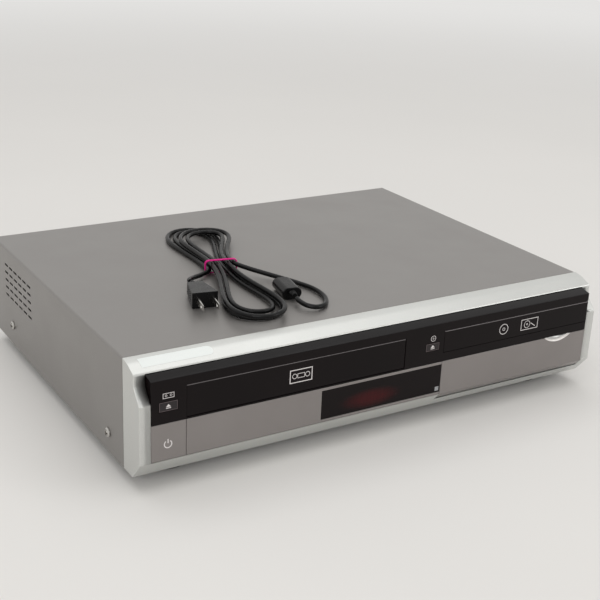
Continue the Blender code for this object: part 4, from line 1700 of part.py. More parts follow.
def make_plug():
    lift = PLUG_TALL / 2 - LEAD / 2
    body = block("mains_plug", (-PLUG_WIDE / 2, -PLUG_LONG / 2, -PLUG_TALL / 2),
                 (PLUG_WIDE / 2, PLUG_LONG / 2, PLUG_TALL / 2), RUBBER_BLACK)
    ease(lay(body, *PLUG_AT, lift), EDGE_ROUND, 2)
    neck = LEAD / 2 + NECK_WALL
    join(body, lay(round_bar("plug_neck", (0, PLUG_LONG / 2 + (PLUG_NECK + NECK_WALL) / 2 - NECK_WALL, 0),
                             "y",
                             PLUG_NECK + NECK_WALL, neck, None, SMALL_SIDES), *PLUG_AT, lift))
    for hand in (-1, 1):
        x = hand * PLUG_BLADE_SPREAD / 2
        blade = block("plug_blade",
                      (x - PLUG_BLADE_THICK / 2, -PLUG_LONG / 2 - PLUG_BLADE_LONG, -PLUG_BLADE_TALL / 2),
                      (x + PLUG_BLADE_THICK / 2, -PLUG_LONG / 2 + BITE, PLUG_BLADE_TALL / 2))
        join(body, lay(blade, *PLUG_AT, lift))


def make_coupler():
    lift = COUPLER_TALL / 2 - LEAD / 2
    points = stadium((COUPLER_WIDE - COUPLER_TALL) / 2, COUPLER_TALL / 2)
    body = lay(outline("lead_coupler", points, COUPLER_LONG, (0, 0, 0), RUBBER_BLACK, (math.pi / 2, 0, 0)),
               *COUPLER_AT, lift)
    neck = LEAD / 2 + NECK_WALL
    join(body, lay(round_bar("coupler_neck",
                             (0, -COUPLER_LONG / 2 - (COUPLER_NECK + NECK_WALL) / 2 + NECK_WALL, 0), "y",
                             COUPLER_NECK + NECK_WALL, neck, None, SMALL_SIDES), *COUPLER_AT, lift))
    holes = [(hand * COUPLER_HOLE_SPREAD / 2, COUPLER_LONG / 2, 0) for hand in (-1, 1)]
    cut(body, lay(round_bars("coupler_holes", holes, "y", 2 * COUPLER_HOLE_DEEP, COUPLER_HOLE),
                  *COUPLER_AT, lift))


def build():
    make_top_cover()
    make_base_pan()
    make_rear_panel()
    make_feet()
    make_screws()
    make_front_moulding()
    make_upper_panel()
    make_cassette_flap()
    make_tray()
    make_tray_front()
    make_lower_panel()
    make_display()
    make_panel_buttons()
    make_control_door()
    make_controls()
    make_boards()
    make_deck_chassis()
    make_reels()
    make_drum()
    make_capstan()
    make_carriage()
    make_drive_housing()
    make_pinion()
    make_traverse()
    make_spindle()
    make_pickup()
    make_clamp()
    make_hard_disk()
    make_fan()
    make_aerial_block()
    make_av_sockets()
    make_mains_inlet()
    make_lead()


build()
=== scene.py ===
"""Looks of a disc and cassette recorder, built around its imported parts: painted cover, moulded front
with gloss panels, the tape deck and disc drive inside, and the mains lead tied up on the lid."""

import math

import bmesh
import bpy
from mathutils import Matrix, Vector


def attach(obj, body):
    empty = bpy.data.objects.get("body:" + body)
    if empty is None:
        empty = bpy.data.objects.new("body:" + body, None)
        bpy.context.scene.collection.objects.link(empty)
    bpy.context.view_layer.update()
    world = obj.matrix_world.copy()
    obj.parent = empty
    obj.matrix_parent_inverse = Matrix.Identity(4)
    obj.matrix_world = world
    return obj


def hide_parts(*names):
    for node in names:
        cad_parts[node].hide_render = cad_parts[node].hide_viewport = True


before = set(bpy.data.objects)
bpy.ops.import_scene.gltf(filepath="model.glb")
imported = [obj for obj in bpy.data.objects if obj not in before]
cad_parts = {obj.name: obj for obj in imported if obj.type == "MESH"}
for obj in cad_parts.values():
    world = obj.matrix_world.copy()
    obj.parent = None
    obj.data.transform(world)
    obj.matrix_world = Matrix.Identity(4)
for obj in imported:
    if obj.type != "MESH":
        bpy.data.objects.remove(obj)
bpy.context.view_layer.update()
bpy.ops.object.select_all(action="DESELECT")

MM = 0.001
FRONT = -169.0
SIDE = 215.0
TOP = 98.5
FIT = 0.3
BAND = ("From Min", 0.3), ("From Max", 0.7)


# Nodes

def colour(code):
    """An sRGB hex colour as the linear one that a shader takes."""
    parts = [int(code[i:i + 2], 16) / 255 for i in (1, 3, 5)]
    return (*[c / 12.92 if c <= 0.04045 else ((c + 0.055) / 1.055) ** 2.4 for c in parts], 1)


def wire(node, links):
    """Links other nodes, by their first output or by the socket given, into a node."""
    for name, source in links.items():
        node.id_data.links.new(source.outputs[0] if hasattr(source, "outputs") else source, node.inputs[name])


def add(tree, kind, inputs=None, links=None, **settings):
    """Adds a node with its own settings, its sockets' values and the links into it."""
    made = tree.nodes.new("ShaderNode" + kind)
    for name, value in settings.items():
        setattr(made, name, value)
    for name, value in (inputs or {}).items():
        made.inputs[name].default_value = value
    wire(made, links or {})
    return made


def finish(name, base, roughness, metallic=0.0, **sockets):
    """A material with the shader's own sockets set; returns it with its tree, shader and coordinates."""
    made = bpy.data.materials.new(name)
    made.use_nodes = True
    tree = made.node_tree
    shader = tree.nodes["Principled BSDF"]
    sockets.update({"Base Color": colour(base), "Roughness": roughness, "Metallic": metallic})
    for key, value in sockets.items():
        shader.inputs[key.replace("_", " ")].default_value = value
    return made, tree, shader, add(tree, "TexCoord").outputs["Object"]


def textured(parts, tones, tint, gloss=None, relief=None, depth=0.5, band=BAND):
    """Lets textures drive a finish: its tone, its roughness between two values, its relief in millimetres."""
    made, tree, shader, _ = parts
    inks = dict(zip((6, 7), map(colour, tones)))
    links = {"Base Color": add(tree, "Mix", inks, {0: tint}, data_type="RGBA").outputs[2]}
    if gloss:
        texture, low, high = gloss
        links["Roughness"] = add(tree, "MapRange", {**dict(band), "To Min": low, "To Max": high},
            {"Value": texture})
    if relief:
        texture, height = relief
        links["Normal"] = add(tree, "Bump", {"Strength": depth, "Distance": height * MM}, {"Height": texture})
    wire(shader, links)
    return made


def patterns(parts, *wanted):
    """Lays textures over a finish, each by kind, size in millimetres and sockets, and how it is drawn out."""
    _, tree, _, place = parts
    found = []
    for kind, size, sockets, *drawn_out in wanted:
        over = add(tree, "Mapping", {"Scale": drawn_out[0]}, {"Vector": place}) if drawn_out else place
        found.append(add(tree, kind, {"Scale": 1 / (size * MM), **sockets}, {"Vector": over}))
    return found


# Finishes, each from what the real one is, besides the painted glow and the painted highlights and reflection
# on edges

def painted_sheet_steel(name, dark, light, mean, roughness, peel):
    """Sheet or moulding, sprayed silver: fine flake sparkle, a slow drift of gloss, soft orange-peel."""
    parts = finish(name, mean, roughness, 0.62, Coat_Weight=0.1, Coat_Roughness=0.3)
    # real flake is 0.05 mm; drawn at 0.45 mm so that it shows
    flake, drift, skin = patterns(parts, ("TexNoise", 0.45, {"Detail": 1.0}),
        ("TexNoise", 55, {"Detail": 2.0}), ("TexNoise", 1.4, {"Detail": 2.0}))
    return textured(parts, (dark, light), flake, (drift, roughness - 0.03, roughness + 0.05), (skin, peel))


def silvered_acrylic(name, dark, light, metal):
    """Acrylic over a silvered back: a dim warm mirror, with faint wiping marks that run along it."""
    parts = finish(name, dark, 0.3, metal, Specular_IOR_Level=0.35)
    wipe, cloud = patterns(parts, ("TexNoise", 3, {"Detail": 4.0}, (0.1, 1, 1)),
        ("TexNoise", 45, {"Detail": 2.0}))
    return textured(parts, (dark, light), cloud, (wipe, 0.28, 0.32))


def gloss_black_abs(name, dark, light, shine):
    """ABS from a polished tool, lacquered black: a trace warm, with dust-fine hairlines in its gloss."""
    parts = finish(name, dark, 0.12, Specular_IOR_Level=shine)
    hair, cloud = patterns(parts, ("TexNoise", 0.5, {"Detail": 5.0}, (0.06, 1, 1)),
        ("TexNoise", 30, {"Detail": 2.0}))
    return textured(parts, (dark, light), cloud, (hair, 0.08, 0.17))


def smoked_acrylic():
    """Cast acrylic, smoked: black at its ends, with the tube's red filter in its middle painted as a glow."""
    parts = _, tree, _, place = finish("smoked_acrylic", "#0e0607", 0.08, Specular_IOR_Level=0.16)
    centred = add(tree, "Mapping", {"Location": (-19 * MM, 0, 38 * MM), "Scale": (33 * MM, 1, 10 * MM)},
                  {"Vector": place}, vector_type="TEXTURE")
    oval = add(tree, "TexGradient", None, {"Vector": centred}, gradient_type="SPHERICAL")
    turned = add(tree, "Mapping", {"Rotation": (math.pi / 2, 0, 0)}, {"Vector": place})
    grid = add(tree, "TexBrick", {"Scale": 1 / (6.4 * MM), "Mortar Size": 0.03, "Brick Width": 0.5,
                                  "Row Height": 0.9, "Color1": (1, 1, 1, 1), "Color2": (0.9, 0.9, 0.9, 1),
                                  "Mortar": (0.65, 0.65, 0.65, 1)}, {"Vector": turned}, offset=0.0)
    # painted glow: an oval of dark red, striped by the grid, stands for the lit display behind the smoke
    glow = add(tree, "MapRange", {"From Max": 0.75}, {"Value": oval}, interpolation_type="SMOOTHSTEP")
    lit = add(tree, "Math", None, {0: glow, 1: grid.outputs["Color"]}, operation="MULTIPLY")
    return textured(parts, ("#0e0607", "#3d0c0f"), lit)


def zinc_plated_sheet():
    """Pressed steel with a zinc coat: faint grey spangle 6 mm across and faint rolling lines."""
    parts = finish("zinc_plated_sheet", "#a3a5a6", 0.42, 1.0)
    cells, lines = patterns(parts, ("TexVoronoi", 6, {}), ("TexNoise", 1.5, {"Detail": 3.0}, (0.08, 1, 1)))
    return textured(parts, ("#a0a2a3", "#a9abac"), cells.outputs["Color"], (lines, 0.35, 0.5))


def moulded_abs(name, dark, light, roughness, grain_mm):
    """ABS from a spark-eroded tool: a fine leathery grain over it, with no clear reflection."""
    parts = finish(name, dark, roughness, Specular_IOR_Level=0.4)
    grain, wear = patterns(parts, ("TexVoronoi", grain_mm, {}), ("TexNoise", 14, {"Detail": 3.0}))
    grain.feature = "SMOOTH_F1"
    return textured(parts, (dark, light), wear, (wear, roughness - 0.05, roughness + 0.07), (grain, 0.04))


def moulded_rubber():
    """Rubber pressed in a mould: deep matt with a dusty bloom in patches."""
    parts = finish("moulded_rubber", "#1b1b1c", 0.8)
    bloom, pores = patterns(parts, ("TexNoise", 5, {"Detail": 5.0}), ("TexNoise", 0.5, {"Detail": 2.0}))
    return textured(parts, ("#161617", "#292928"), bloom, None, (pores, 0.03))


def extruded_pvc(name, dark, light, roughness):
    """Soft PVC drawn over wire or moulded round it: long soft highlights and a very slight waviness."""
    parts = finish(name, dark, roughness, Specular_IOR_Level=0.14, Coat_Weight=0.12, Coat_Roughness=0.12)
    wave, rub = patterns(parts, ("TexNoise", 6, {"Detail": 1.0}), ("TexNoise", 8, {"Detail": 3.0}))
    return textured(parts, (dark, light), rub, (rub, roughness - 0.06, roughness + 0.08), (wave, 0.05))


def plated_metal(name, dark, light, roughness, marks_mm):
    """Turned or stamped metal, plated: a mirror softened by the marks its tool left."""
    parts = finish(name, light, roughness, 1.0)
    marks, = patterns(parts, ("TexNoise", marks_mm, {"Detail": 4.0}, (1, 1, 0.3)))
    return textured(parts, (dark, light), marks, (marks, roughness - 0.05, roughness + 0.08), (marks, 0.01),
        0.3)


def moulded_acetal():
    """Acetal gears and hubs: waxy off-white that light goes a little way into."""
    parts = finish("moulded_acetal", "#e3e0d6", 0.4, Subsurface_Weight=0.08, Subsurface_Scale=1.5 * MM)
    flow, = patterns(parts, ("TexNoise", 6, {"Detail": 3.0}))
    return textured(parts, ("#d9d5c9", "#ebe8df"), flow, (flow, 0.32, 0.5), band=())


def screened_ink(name, thin, full):
    """Ink pressed through a screen: flat and matt, with the mesh's slight unevenness in its cover."""
    parts = finish(name, full, 0.5, Specular_IOR_Level=0.3)
    cover, = patterns(parts, ("TexNoise", 0.5, {"Detail": 2.0}))
    return textured(parts, (thin, full), cover, (cover, 0.4, 0.62), band=())


def solder_masked_board():
    """Glass-fibre board under green solder mask: copper tracks 1.6 mm apart show a little lighter."""
    parts = made, tree, shader, _ = finish("solder_masked_board", "#174a26", 0.4)
    copper = {"Mortar Size": 0.03, "Row Height": 0.2, "Color1": colour("#164524"), "Color2": colour("#1a4f2a"),
              "Mortar": colour("#27663a")}
    tracks, weave = patterns(parts, ("TexBrick", 8, copper), ("TexNoise", 0.8, {"Detail": 1.0}))
    bump = add(tree, "Bump", {"Strength": 0.3, "Distance": 0.03 * MM}, {"Height": weave})
    wire(shader, {"Base Color": tracks, "Normal": bump})
    return made


def tube_glass():
    """Drawn glass of the display tube, dark, with its grey grid of electrodes 2 mm apart behind."""
    made, tree, shader, place = finish("tube_glass", "#0f1413", 0.08, Coat_Weight=0.6)
    turned = add(tree, "Mapping", {"Rotation": (math.pi / 2, 0, 0)}, {"Vector": place})
    grid = add(tree, "TexBrick", {"Scale": 1 / (4 * MM), "Mortar Size": 0.03, "Row Height": 0.5,
                                  "Color1": colour("#101716"), "Color2": colour("#131b1a"),
                                  "Mortar": colour("#39423f")}, {"Vector": turned}, offset=0.0)
    wire(shader, {"Base Color": grid})
    return made


def coated_lens():
    """Moulded glass lens with a blue-violet coating that deepens to its rim."""
    parts = finish("coated_lens", "#20264a", 0.05, Coat_Weight=1.0)
    rim = add(parts[1], "LayerWeight", {"Blend": 0.4})
    return textured(parts, ("#1b2148", "#5a3f86"), rim.outputs["Facing"])


COVER_PAINT = painted_sheet_steel("painted_sheet_steel", "#84817f", "#969390", "#8d8a87", 0.42, 0.012)
FRONT_PAINT = painted_sheet_steel("painted_moulded_abs", "#c4c5c2", "#d5d6d3", "#cdcecb", 0.36, 0.006)
KEY_PAINT = painted_sheet_steel("painted_key_caps", "#b0b0ae", "#c2c2c0", "#b9b9b7", 0.34, 0.006)
SILVERED = silvered_acrylic("silvered_acrylic", "#847f7d", "#8f8a88", 0.5)
# painted highlight: a much lighter silvered finish for the walls of the door's thumb scoop
SILVER_PAINTED_HIGHLIGHT = silvered_acrylic("bright_acrylic_edge", "#dcd8d4", "#ece8e4", 0.2)
BLACK_GLOSS = gloss_black_abs("gloss_black_abs", "#0b0607", "#120b0c", 0.14)
# painted reflection: a lighter black for the upward faces of the black panel's crown
BLACK_PAINTED_REFLECTION = gloss_black_abs("dusty_black_abs", "#131112", "#1a1819", 0.13)
# painted highlight: a grey copy of the black finish for the top edges of the flap and the tray front
BLACK_PAINTED_HIGHLIGHT = gloss_black_abs("polished_black_edge", "#585354", "#686364", 0.9)
KEY_BLACK = gloss_black_abs("polished_key_abs", "#242021", "#2c2728", 0.3)
# the window's finish carries a painted glow of the lit display in its middle
SMOKE_PAINTED_GLOW = smoked_acrylic()
ZINC = zinc_plated_sheet()
BLACK_ABS = moulded_abs("moulded_black_abs", "#141415", "#1c1c1d", 0.5, 0.6)
GREY_ABS = moulded_abs("moulded_grey_abs", "#3a3b3d", "#454648", 0.5, 0.6)
EYE_ABS = moulded_abs("moulded_eye_abs", "#8f9092", "#9c9d9f", 0.35, 0.4)
RUBBER = moulded_rubber()
PVC = extruded_pvc("extruded_black_pvc", "#080808", "#0f0f10", 0.28)
TIE = extruded_pvc("extruded_pink_pvc", "#c11374", "#dc1f8a", 0.3)
NICKEL = plated_metal("nickel_plated_steel", "#b6b4b0", "#cfcdc9", 0.2, 0.7)
ALLOY = plated_metal("turned_aluminium", "#b3b4b5", "#c8c9ca", 0.32, 0.8)
COPPER = plated_metal("enamelled_copper", "#8c4a25", "#b06a3a", 0.35, 0.5)
ACETAL = moulded_acetal()
WHITE_INK = screened_ink("white_screened_ink", "#cfc9c8", "#e6e2e1")
GREY_INK = screened_ink("grey_screened_ink", "#5a4f50", "#6a5f60")
PAPER = screened_ink("printed_paper", "#e2e7e4", "#f1f4f2")
BOARD = solder_masked_board()
TUBE = tube_glass()
LENS = coated_lens()
INSULATORS = {name: moulded_abs(f"moulded_{name}_abs", dark, light, 0.35, 1.0) for name, dark, light in (
    ("yellow", "#c9a613", "#d8b51d"), ("white", "#d8d7d2", "#e6e5e0"), ("red", "#a81a1a", "#bb2424"),
    ("green", "#1f7a3c", "#268a46"), ("blue", "#1f4f9c", "#275bab"))}


# Modelling, in millimetres: X right, Y back from the front face, Z up from the floor

def at(x, y, z):
    return Vector((x, y + FRONT, z)) * MM


def alone(piece):
    bpy.ops.object.select_all(action="DESELECT")
    piece.select_set(True)
    bpy.context.view_layer.objects.active = piece
    return piece


def edit(piece, kind="VERT", choose="SELECT"):
    """Goes into edit mode on a piece, with all or none of it chosen."""
    alone(piece)
    bpy.ops.object.mode_set(mode="EDIT")
    bpy.ops.mesh.select_mode(type=kind)
    bpy.ops.mesh.select_all(action=choose)


def done():
    bpy.ops.object.mode_set(mode="OBJECT")


def settle(name):
    """Puts the new object at the origin, unturned and unscaled, with its place in its mesh."""
    piece = alone(bpy.context.object)
    piece.name = name
    bpy.ops.object.transform_apply(location=True, rotation=True, scale=True)
    return piece


def apply_all(piece):
    alone(piece)
    for modifier in list(piece.modifiers):
        bpy.ops.object.modifier_apply(modifier=modifier.name)
    return piece


def block(name, low, high):
    """A cube primitive at its size and place."""
    low, high = at(*low), at(*high)
    bpy.ops.mesh.primitive_cube_add(size=1, location=(low + high) / 2)
    bpy.context.object.scale = high - low
    return settle(name)


def bar(name, centre, axis, length, radius, sides=48):
    """A cylinder primitive at its size and place."""
    turn = {"x": (0, math.pi / 2, 0), "y": (math.pi / 2, 0, 0), "z": (0, 0, 0)}[axis]
    bpy.ops.mesh.primitive_cylinder_add(vertices=sides, radius=radius * MM, depth=length * MM,
                                        location=at(*centre), rotation=turn)
    return settle(name)


def pull(way):
    bpy.ops.mesh.extrude_region_move(TRANSFORM_OT_translate={"value": way})


def drawn(name, points, low, high, axis="x"):
    """An outline drawn point by point across an axis, filled, and pulled from low to high along it."""
    spots = [at(*{"x": (low, *p), "y": (p[0], low, p[1]), "z": (*p, low)}[axis]) for p in points]
    bpy.ops.mesh.primitive_plane_add(size=MM, location=spots[0])
    piece = settle(name)
    edit(piece)
    bpy.ops.mesh.merge(type="CENTER")
    for before, after in zip(spots, spots[1:]):
        bpy.ops.mesh.extrude_vertices_move(TRANSFORM_OT_translate={"value": after - before})
    bpy.ops.mesh.select_all(action="SELECT")
    bpy.ops.mesh.edge_face_add()
    pull(Vector([(high - low) * MM * (axis == way) for way in "xyz"]))
    bpy.ops.mesh.select_all(action="SELECT")
    bpy.ops.mesh.normals_make_consistent(inside=False)
    done()
    return piece


def lathe(name, profile, centre, axis="z", sides=48):
    """A piece turned from radius and height: a circle drawn out ring by ring, closed or a tube."""
    radius, height = profile[0]
    fill = "NOTHING" if profile[0] == profile[-1] else "NGON"
    bpy.ops.mesh.primitive_circle_add(vertices=sides, radius=radius * MM, fill_type=fill,
                                      location=(0, 0, height * MM))
    piece = settle(name)
    edit(piece)
    for (before, low), (after, high) in zip(profile, profile[1:]):
        pull((0, 0, (high - low) * MM))
        bpy.ops.transform.resize(value=(after / before, after / before, 1), center_override=(0, 0, high * MM))
    bpy.ops.mesh.select_all(action="SELECT")
    bpy.ops.mesh.remove_doubles(threshold=0.001 * MM)
    bpy.ops.mesh.normals_make_consistent(inside=False)
    done()
    quarters, about = {"x": (1, "Y"), "-x": (-1, "Y"), "y": (-1, "X"), "-y": (1, "X"), "z": (0, "X"),
                       "-z": (2, "X")}[axis]
    piece.data.transform(Matrix.Translation(at(*centre)) @ Matrix.Rotation(quarters * math.pi / 2, 4, about))
    return piece


def pick(piece, test, kind="FACE"):
    """Goes into edit mode with the faces or edges chosen that pass a test of their middle and direction."""
    edit(piece, kind, "DESELECT")
    form = bmesh.from_edit_mesh(piece.data)
    for item in form.faces if kind == "FACE" else form.edges:
        if kind == "FACE":
            middle, way = item.calc_center_median(), item.normal
        else:
            start, end = (corner.co for corner in item.verts)
            middle, way = (start + end) / 2, (end - start).normalized()
        item.select_set(bool(test(middle / MM - Vector((0, FRONT, 0)), way)))
    form.select_flush_mode()
    bmesh.update_edit_mesh(piece.data)


def squeeze(piece, test, value, centre):
    """Scales the chosen faces about a point."""
    pick(piece, test)
    bpy.ops.transform.resize(value=value, center_override=at(*centre))
    done()


def inset(piece, test, thickness, depth=0.0, each=False):
    """Insets the chosen faces, all together or each by itself, and moves them out or in."""
    pick(piece, test)
    bpy.ops.mesh.inset(thickness=thickness * MM, depth=depth * MM, use_individual=each)
    done()


def chamfer(piece, test, width, segments):
    """Bevels the chosen edges."""
    pick(piece, test, "EDGE")
    bpy.ops.mesh.bevel(offset=width * MM, segments=segments, affect="EDGES")
    done()


def rounded(name, low, high, axis, radius, segments):
    """A block whose edges along an axis are rounded."""
    piece = block(name, low, high)
    chamfer(piece, lambda c, w: abs(w["xyz".index(axis)]) > 0.9, radius, segments)
    return piece


def widened(piece, middle, reach):
    """Draws the two halves of a round piece apart across the front, which makes it oval."""
    for side in (-1, 1):
        pick(piece, lambda c, n: (c.x - middle) * side > 0.01 and abs(n.y) < 0.5, "EDGE")
        bpy.ops.transform.translate(value=(side * reach * MM, 0, 0))
        done()
    return piece


def put(piece, place, turn=Matrix()):
    """Turns a piece made about the front face's origin, and moves it to its place."""
    piece.data.transform(Matrix.Translation(place) @ turn @ Matrix.Translation(-at(0, 0, 0)))
    return piece


def clear(*pieces):
    for piece in pieces:
        bpy.data.objects.remove(piece, do_unlink=True)


def combine(piece, how, tools):
    """Unites tools with a piece or takes them from it, and clears them away."""
    for tool in tools:
        step = piece.modifiers.new("combined", "BOOLEAN")
        step.operation = how
        step.solver = "EXACT"
        step.object = tool
        apply_all(piece)
        clear(tool)
    return piece


def cut(piece, *tools):
    return combine(piece, "DIFFERENCE", tools)


def fuse(piece, *tools):
    return combine(piece, "UNION", tools)


def drill(piece, spots, axis, length, radius, sides=24):
    """Takes a round hole out of a piece at each spot."""
    return cut(piece, *[bar("hole", spot, axis, length, radius, sides) for spot in spots])


def together(pieces, name=None):
    """Joins loose pieces into one object."""
    alone(pieces[0])
    for other in pieces[1:]:
        other.select_set(True)
    if len(pieces) > 1:
        bpy.ops.object.join()
    pieces[0].name = name or pieces[0].name
    return pieces[0]


def copied(piece, x=0.0, y=0.0, z=0.0, name=None):
    """A copy with its own mesh, moved."""
    made = piece.copy()
    made.data = piece.data.copy()
    made.name = name or piece.name
    bpy.context.scene.collection.objects.link(made)
    made.data.transform(Matrix.Translation(Vector((x, y, z)) * MM))
    return made


def soften(piece, width, segments=2, angle=30, smooth=40):
    """Breaks the sharp edges, and shades so that flat faces stay flat and round ones run on."""
    bevel = piece.modifiers.new("edges", "BEVEL")
    bevel.width = width * MM
    bevel.segments = segments
    bevel.limit_method = "ANGLE"
    bevel.angle_limit = math.radians(angle)
    apply_all(piece)
    return even(piece, smooth)


def even(piece, smooth=40):
    alone(piece)
    bpy.ops.object.shade_smooth_by_angle(angle=math.radians(smooth))
    weigh = piece.modifiers.new("weigh", "WEIGHTED_NORMAL")
    weigh.keep_sharp = True
    return apply_all(piece)


def coat(piece, material):
    piece.data.materials.clear()
    piece.data.materials.append(material)


def dress(piece, material, node=None, slot=None, body="player"):
    """Gives a finished piece its material and the body it rides on, and hides the imported node it stands for.
    The slot is not used.
    """
    coat(piece, material)
    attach(piece, body)
    if node:
        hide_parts(node)
    return piece


def turned(name, profile, centre, sides, smooth, *looks, **more):
    """An upright turned piece, finished and dressed."""
    return dress(even(lathe(name, profile, centre, sides=sides), smooth), *looks, **more)


# Camera, floor and light

PALE = colour("#f4f3f1")
BRIGHT = 0.86


def set_camera():
    """The photograph's viewpoint: high and to the left of the front, a little rolled."""
    yaw, pitch, roll = math.radians(31.936), math.radians(21.080), math.radians(2.534)
    ahead = Vector((math.sin(yaw) * math.cos(pitch), math.cos(yaw) * math.cos(pitch), -math.sin(pitch)))
    right = Vector((math.cos(yaw), -math.sin(yaw), 0))
    up = right.cross(ahead)
    right, up = math.cos(roll) * right + math.sin(roll) * up, math.cos(roll) * up - math.sin(roll) * right
    camera = bpy.data.objects.new("camera", bpy.data.cameras.new("camera"))
    camera.data.sensor_width = 36
    camera.data.lens = 68.93
    camera.matrix_world = Matrix.Translation(at(-499.22, -659.35, 430.80)) @ Matrix(
        (right, up, -ahead)).transposed().to_4x4()
    bpy.context.scene.collection.objects.link(camera)
    bpy.context.scene.camera = camera


def add_lamp(name, place, aim, size, watts):
    lamp = bpy.data.lights.new(name, "AREA")
    lamp.shape = "RECTANGLE"
    lamp.size, lamp.size_y = size
    lamp.energy = watts
    holder = bpy.data.objects.new(name, lamp)
    holder.location = place
    holder.rotation_euler = (Vector(aim) - Vector(place)).to_track_quat("-Z", "Y").to_euler()
    bpy.context.scene.collection.objects.link(holder)


def looked_at(tree):
    """One where the camera, a reflection or clear matter sees the surface, none where it only lights."""
    seen = add(tree, "LightPath").outputs
    some = add(tree, "Math", None, {0: seen["Is Camera Ray"], 1: seen["Is Transmission Ray"]},
        operation="MAXIMUM")
    return add(tree, "Math", None, {0: some, 1: seen["Is Glossy Ray"]}, operation="MAXIMUM")


def set_stage():
    """A pale floor that fades into a pale world, which is seen brighter than it lights."""
    bpy.ops.mesh.primitive_circle_add(vertices=96, radius=9, fill_type="NGON", location=(0, 0, 0))
    floor = settle("floor")
    parts = made, tree, shader, place = finish("pale_floor", "#e6e4e1", 0.8, Specular_IOR_Level=0.1)
    cloud = add(tree, "TexNoise", {"Scale": 3.0, "Detail": 2.0}, {"Vector": place})
    textured(parts, ("#e4e2df", "#e8e6e3"), cloud)
    reach = add(tree, "VectorMath", None, {0: place}, operation="LENGTH")
    away = add(tree, "MapRange", {"From Min": 0.7, "From Max": 3.0}, {"Value": reach.outputs["Value"]},
               interpolation_type="SMOOTHSTEP")
    faded = add(tree, "Math", None, {0: looked_at(tree), 1: away}, operation="MULTIPLY")
    mist = add(tree, "Emission", {"Color": PALE, "Strength": BRIGHT})
    blend = add(tree, "MixShader", None, {0: faded, 1: shader, 2: mist})
    wire(tree.nodes["Material Output"], {"Surface": blend})
    floor.data.materials.append(made)
    world = bpy.data.worlds.new("studio")
    bpy.context.scene.world = world
    world.use_nodes = True
    tree = world.node_tree
    level = add(tree, "MapRange", {"To Min": 0.6, "To Max": BRIGHT}, {"Value": looked_at(tree)})
    shade = tree.nodes["Background"]
    shade.inputs["Color"].default_value = PALE
    wire(shade, {"Strength": level})
    add_lamp("overhead", (0, 0.1, 2.2), (0, 0, 0), (3.0, 2.6), 24)
    add_lamp("left_front", (-1.7, -1.9, 1.1), (0, 0, 0.05), (1.4, 1.2), 13)
    add_lamp("right_front", (1.7, -1.7, 0.9), (0, 0, 0.05), (1.2, 1.0), 8)


set_camera()
set_stage()


# Mains lead, folded into a hank on the lid

LEAD = 4.0 * MM
TURNS = 3.5
PITCH = 4.7 * MM
HANK_TURN = math.radians(10.5)
SPREAD = 0.5
FRONT_STRAY = (-9.0, 1.0)
REAR_STRAY = (-17.0, 10.0)
REACH = 104 * MM
BREADTH = 19 * MM
STEPS = 72
PLUG_AT = (-60.0 * MM, -35.5 * MM)
COUPLER_AT = (-62.0 * MM, 37.0 * MM)
PLUG_TAIL = ((-31.8, -35.5, 4.5), (-27.0, -35.0, 4.0), (-19.0, -30.0, 2.4), (-10.0, -19.5, 1.4))
COUPLER_TAIL = ((-13.0, 19.0, 5.0), (-28.0, 37.0, 1.8), (-45.0, 52.5, 0.1), (-62.0, 61.0, 0),
    (-80.0, 63.0, 0), (-95.0, 58.0, 0), (-101.5, 49.0, 0.5), (-98.5, 41.0, 1.4), (-91.0, 37.4, 2.5),
    (-86.0, 37.0, 3.0))


def hank_place(along, across, lift):
    """A point on the lid from its place along and across the hank and its lift above the lowest run."""
    sine, cosine = math.sin(HANK_TURN), math.cos(HANK_TURN)
    return at(-71.5, 156, TOP + FIT) + Vector((along * sine + across * cosine, along * cosine - across * sine,
                                               LEAD / 2 + lift))


def lobe_point(angle):
    """Centre of the inmost loop: two lobes drawn in at the waist, the front one a little broader."""
    waist = PITCH / 2
    broad, narrow = (BREADTH + waist) / 2, (BREADTH - waist) / 2
    across = (broad * math.sin(angle) + narrow * math.sin(3 * angle)) * (1 - 0.10 * math.cos(angle))
    return Vector((REACH * math.cos(angle), across))


def waist_rise(along):
    """How far the tie lifts the lead off the lid, fading away from the waist."""
    return 1.7 * MM * math.exp(-((along / (22 * MM)) ** 2))


def eased(share):
    share = min(max(share, 0), 1)
    return share * share * (3 - 2 * share)


def hank_point(turn):
    """Centre of the lead after some turns: it spirals in on the lower layer and out again on the upper."""
    angle = math.tau * (turn + 3 / 4)
    step = math.tau / 576
    ahead = lobe_point(angle + step) - lobe_point(angle - step)
    outward = Vector((ahead.y, -ahead.x)).normalized()
    flat = lobe_point(angle)
    bend = (flat.x / REACH) ** 2
    flat += outward * PITCH * abs(turn - TURNS / 2) * (1 + SPREAD * bend)
    layer = PITCH * eased(2 * (turn - TURNS / 2) + 1 / 2)
    if turn > TURNS / 2 + 1 / 4:
        flat += Vector(FRONT_STRAY if flat.x < 0 else REAR_STRAY) * bend * MM
    return hank_place(flat.x, flat.y, layer + waist_rise(flat.x))


def smooth_run(points, before, after, parts=8):
    """Points on a smooth curve through the given ones, which are kept."""
    chain = [before] + points + [after]
    run = []
    for a, b, c, d in zip(chain, chain[1:], chain[2:], chain[3:]):
        for part in range(parts):
            t = part / parts
            run.append((2 * b + (c - a) * t + (2 * a - 5 * b + 4 * c - d) * t * t
                        + (3 * b - a - 3 * c + d) * t ** 3) / 2)
    return run + [points[-1]]


def lead_route():
    turns = [hank_point(step / STEPS) for step in range(round(TURNS * STEPS) + 1)]
    coarse = [hank_point(step / 24) for step in (1, round(TURNS * 24) - 1)]
    plug_end = [hank_place(*[v * MM for v in spot]) for spot in PLUG_TAIL] + turns[:1]
    coupler_end = turns[-1:] + [hank_place(*[v * MM for v in spot]) for spot in COUPLER_TAIL]
    first = smooth_run(plug_end, 2 * plug_end[0] - plug_end[1], coarse[0])
    last = smooth_run(coupler_end, coarse[1], 2 * coupler_end[-1] - coupler_end[-2])
    return first + turns[1:-1] + last


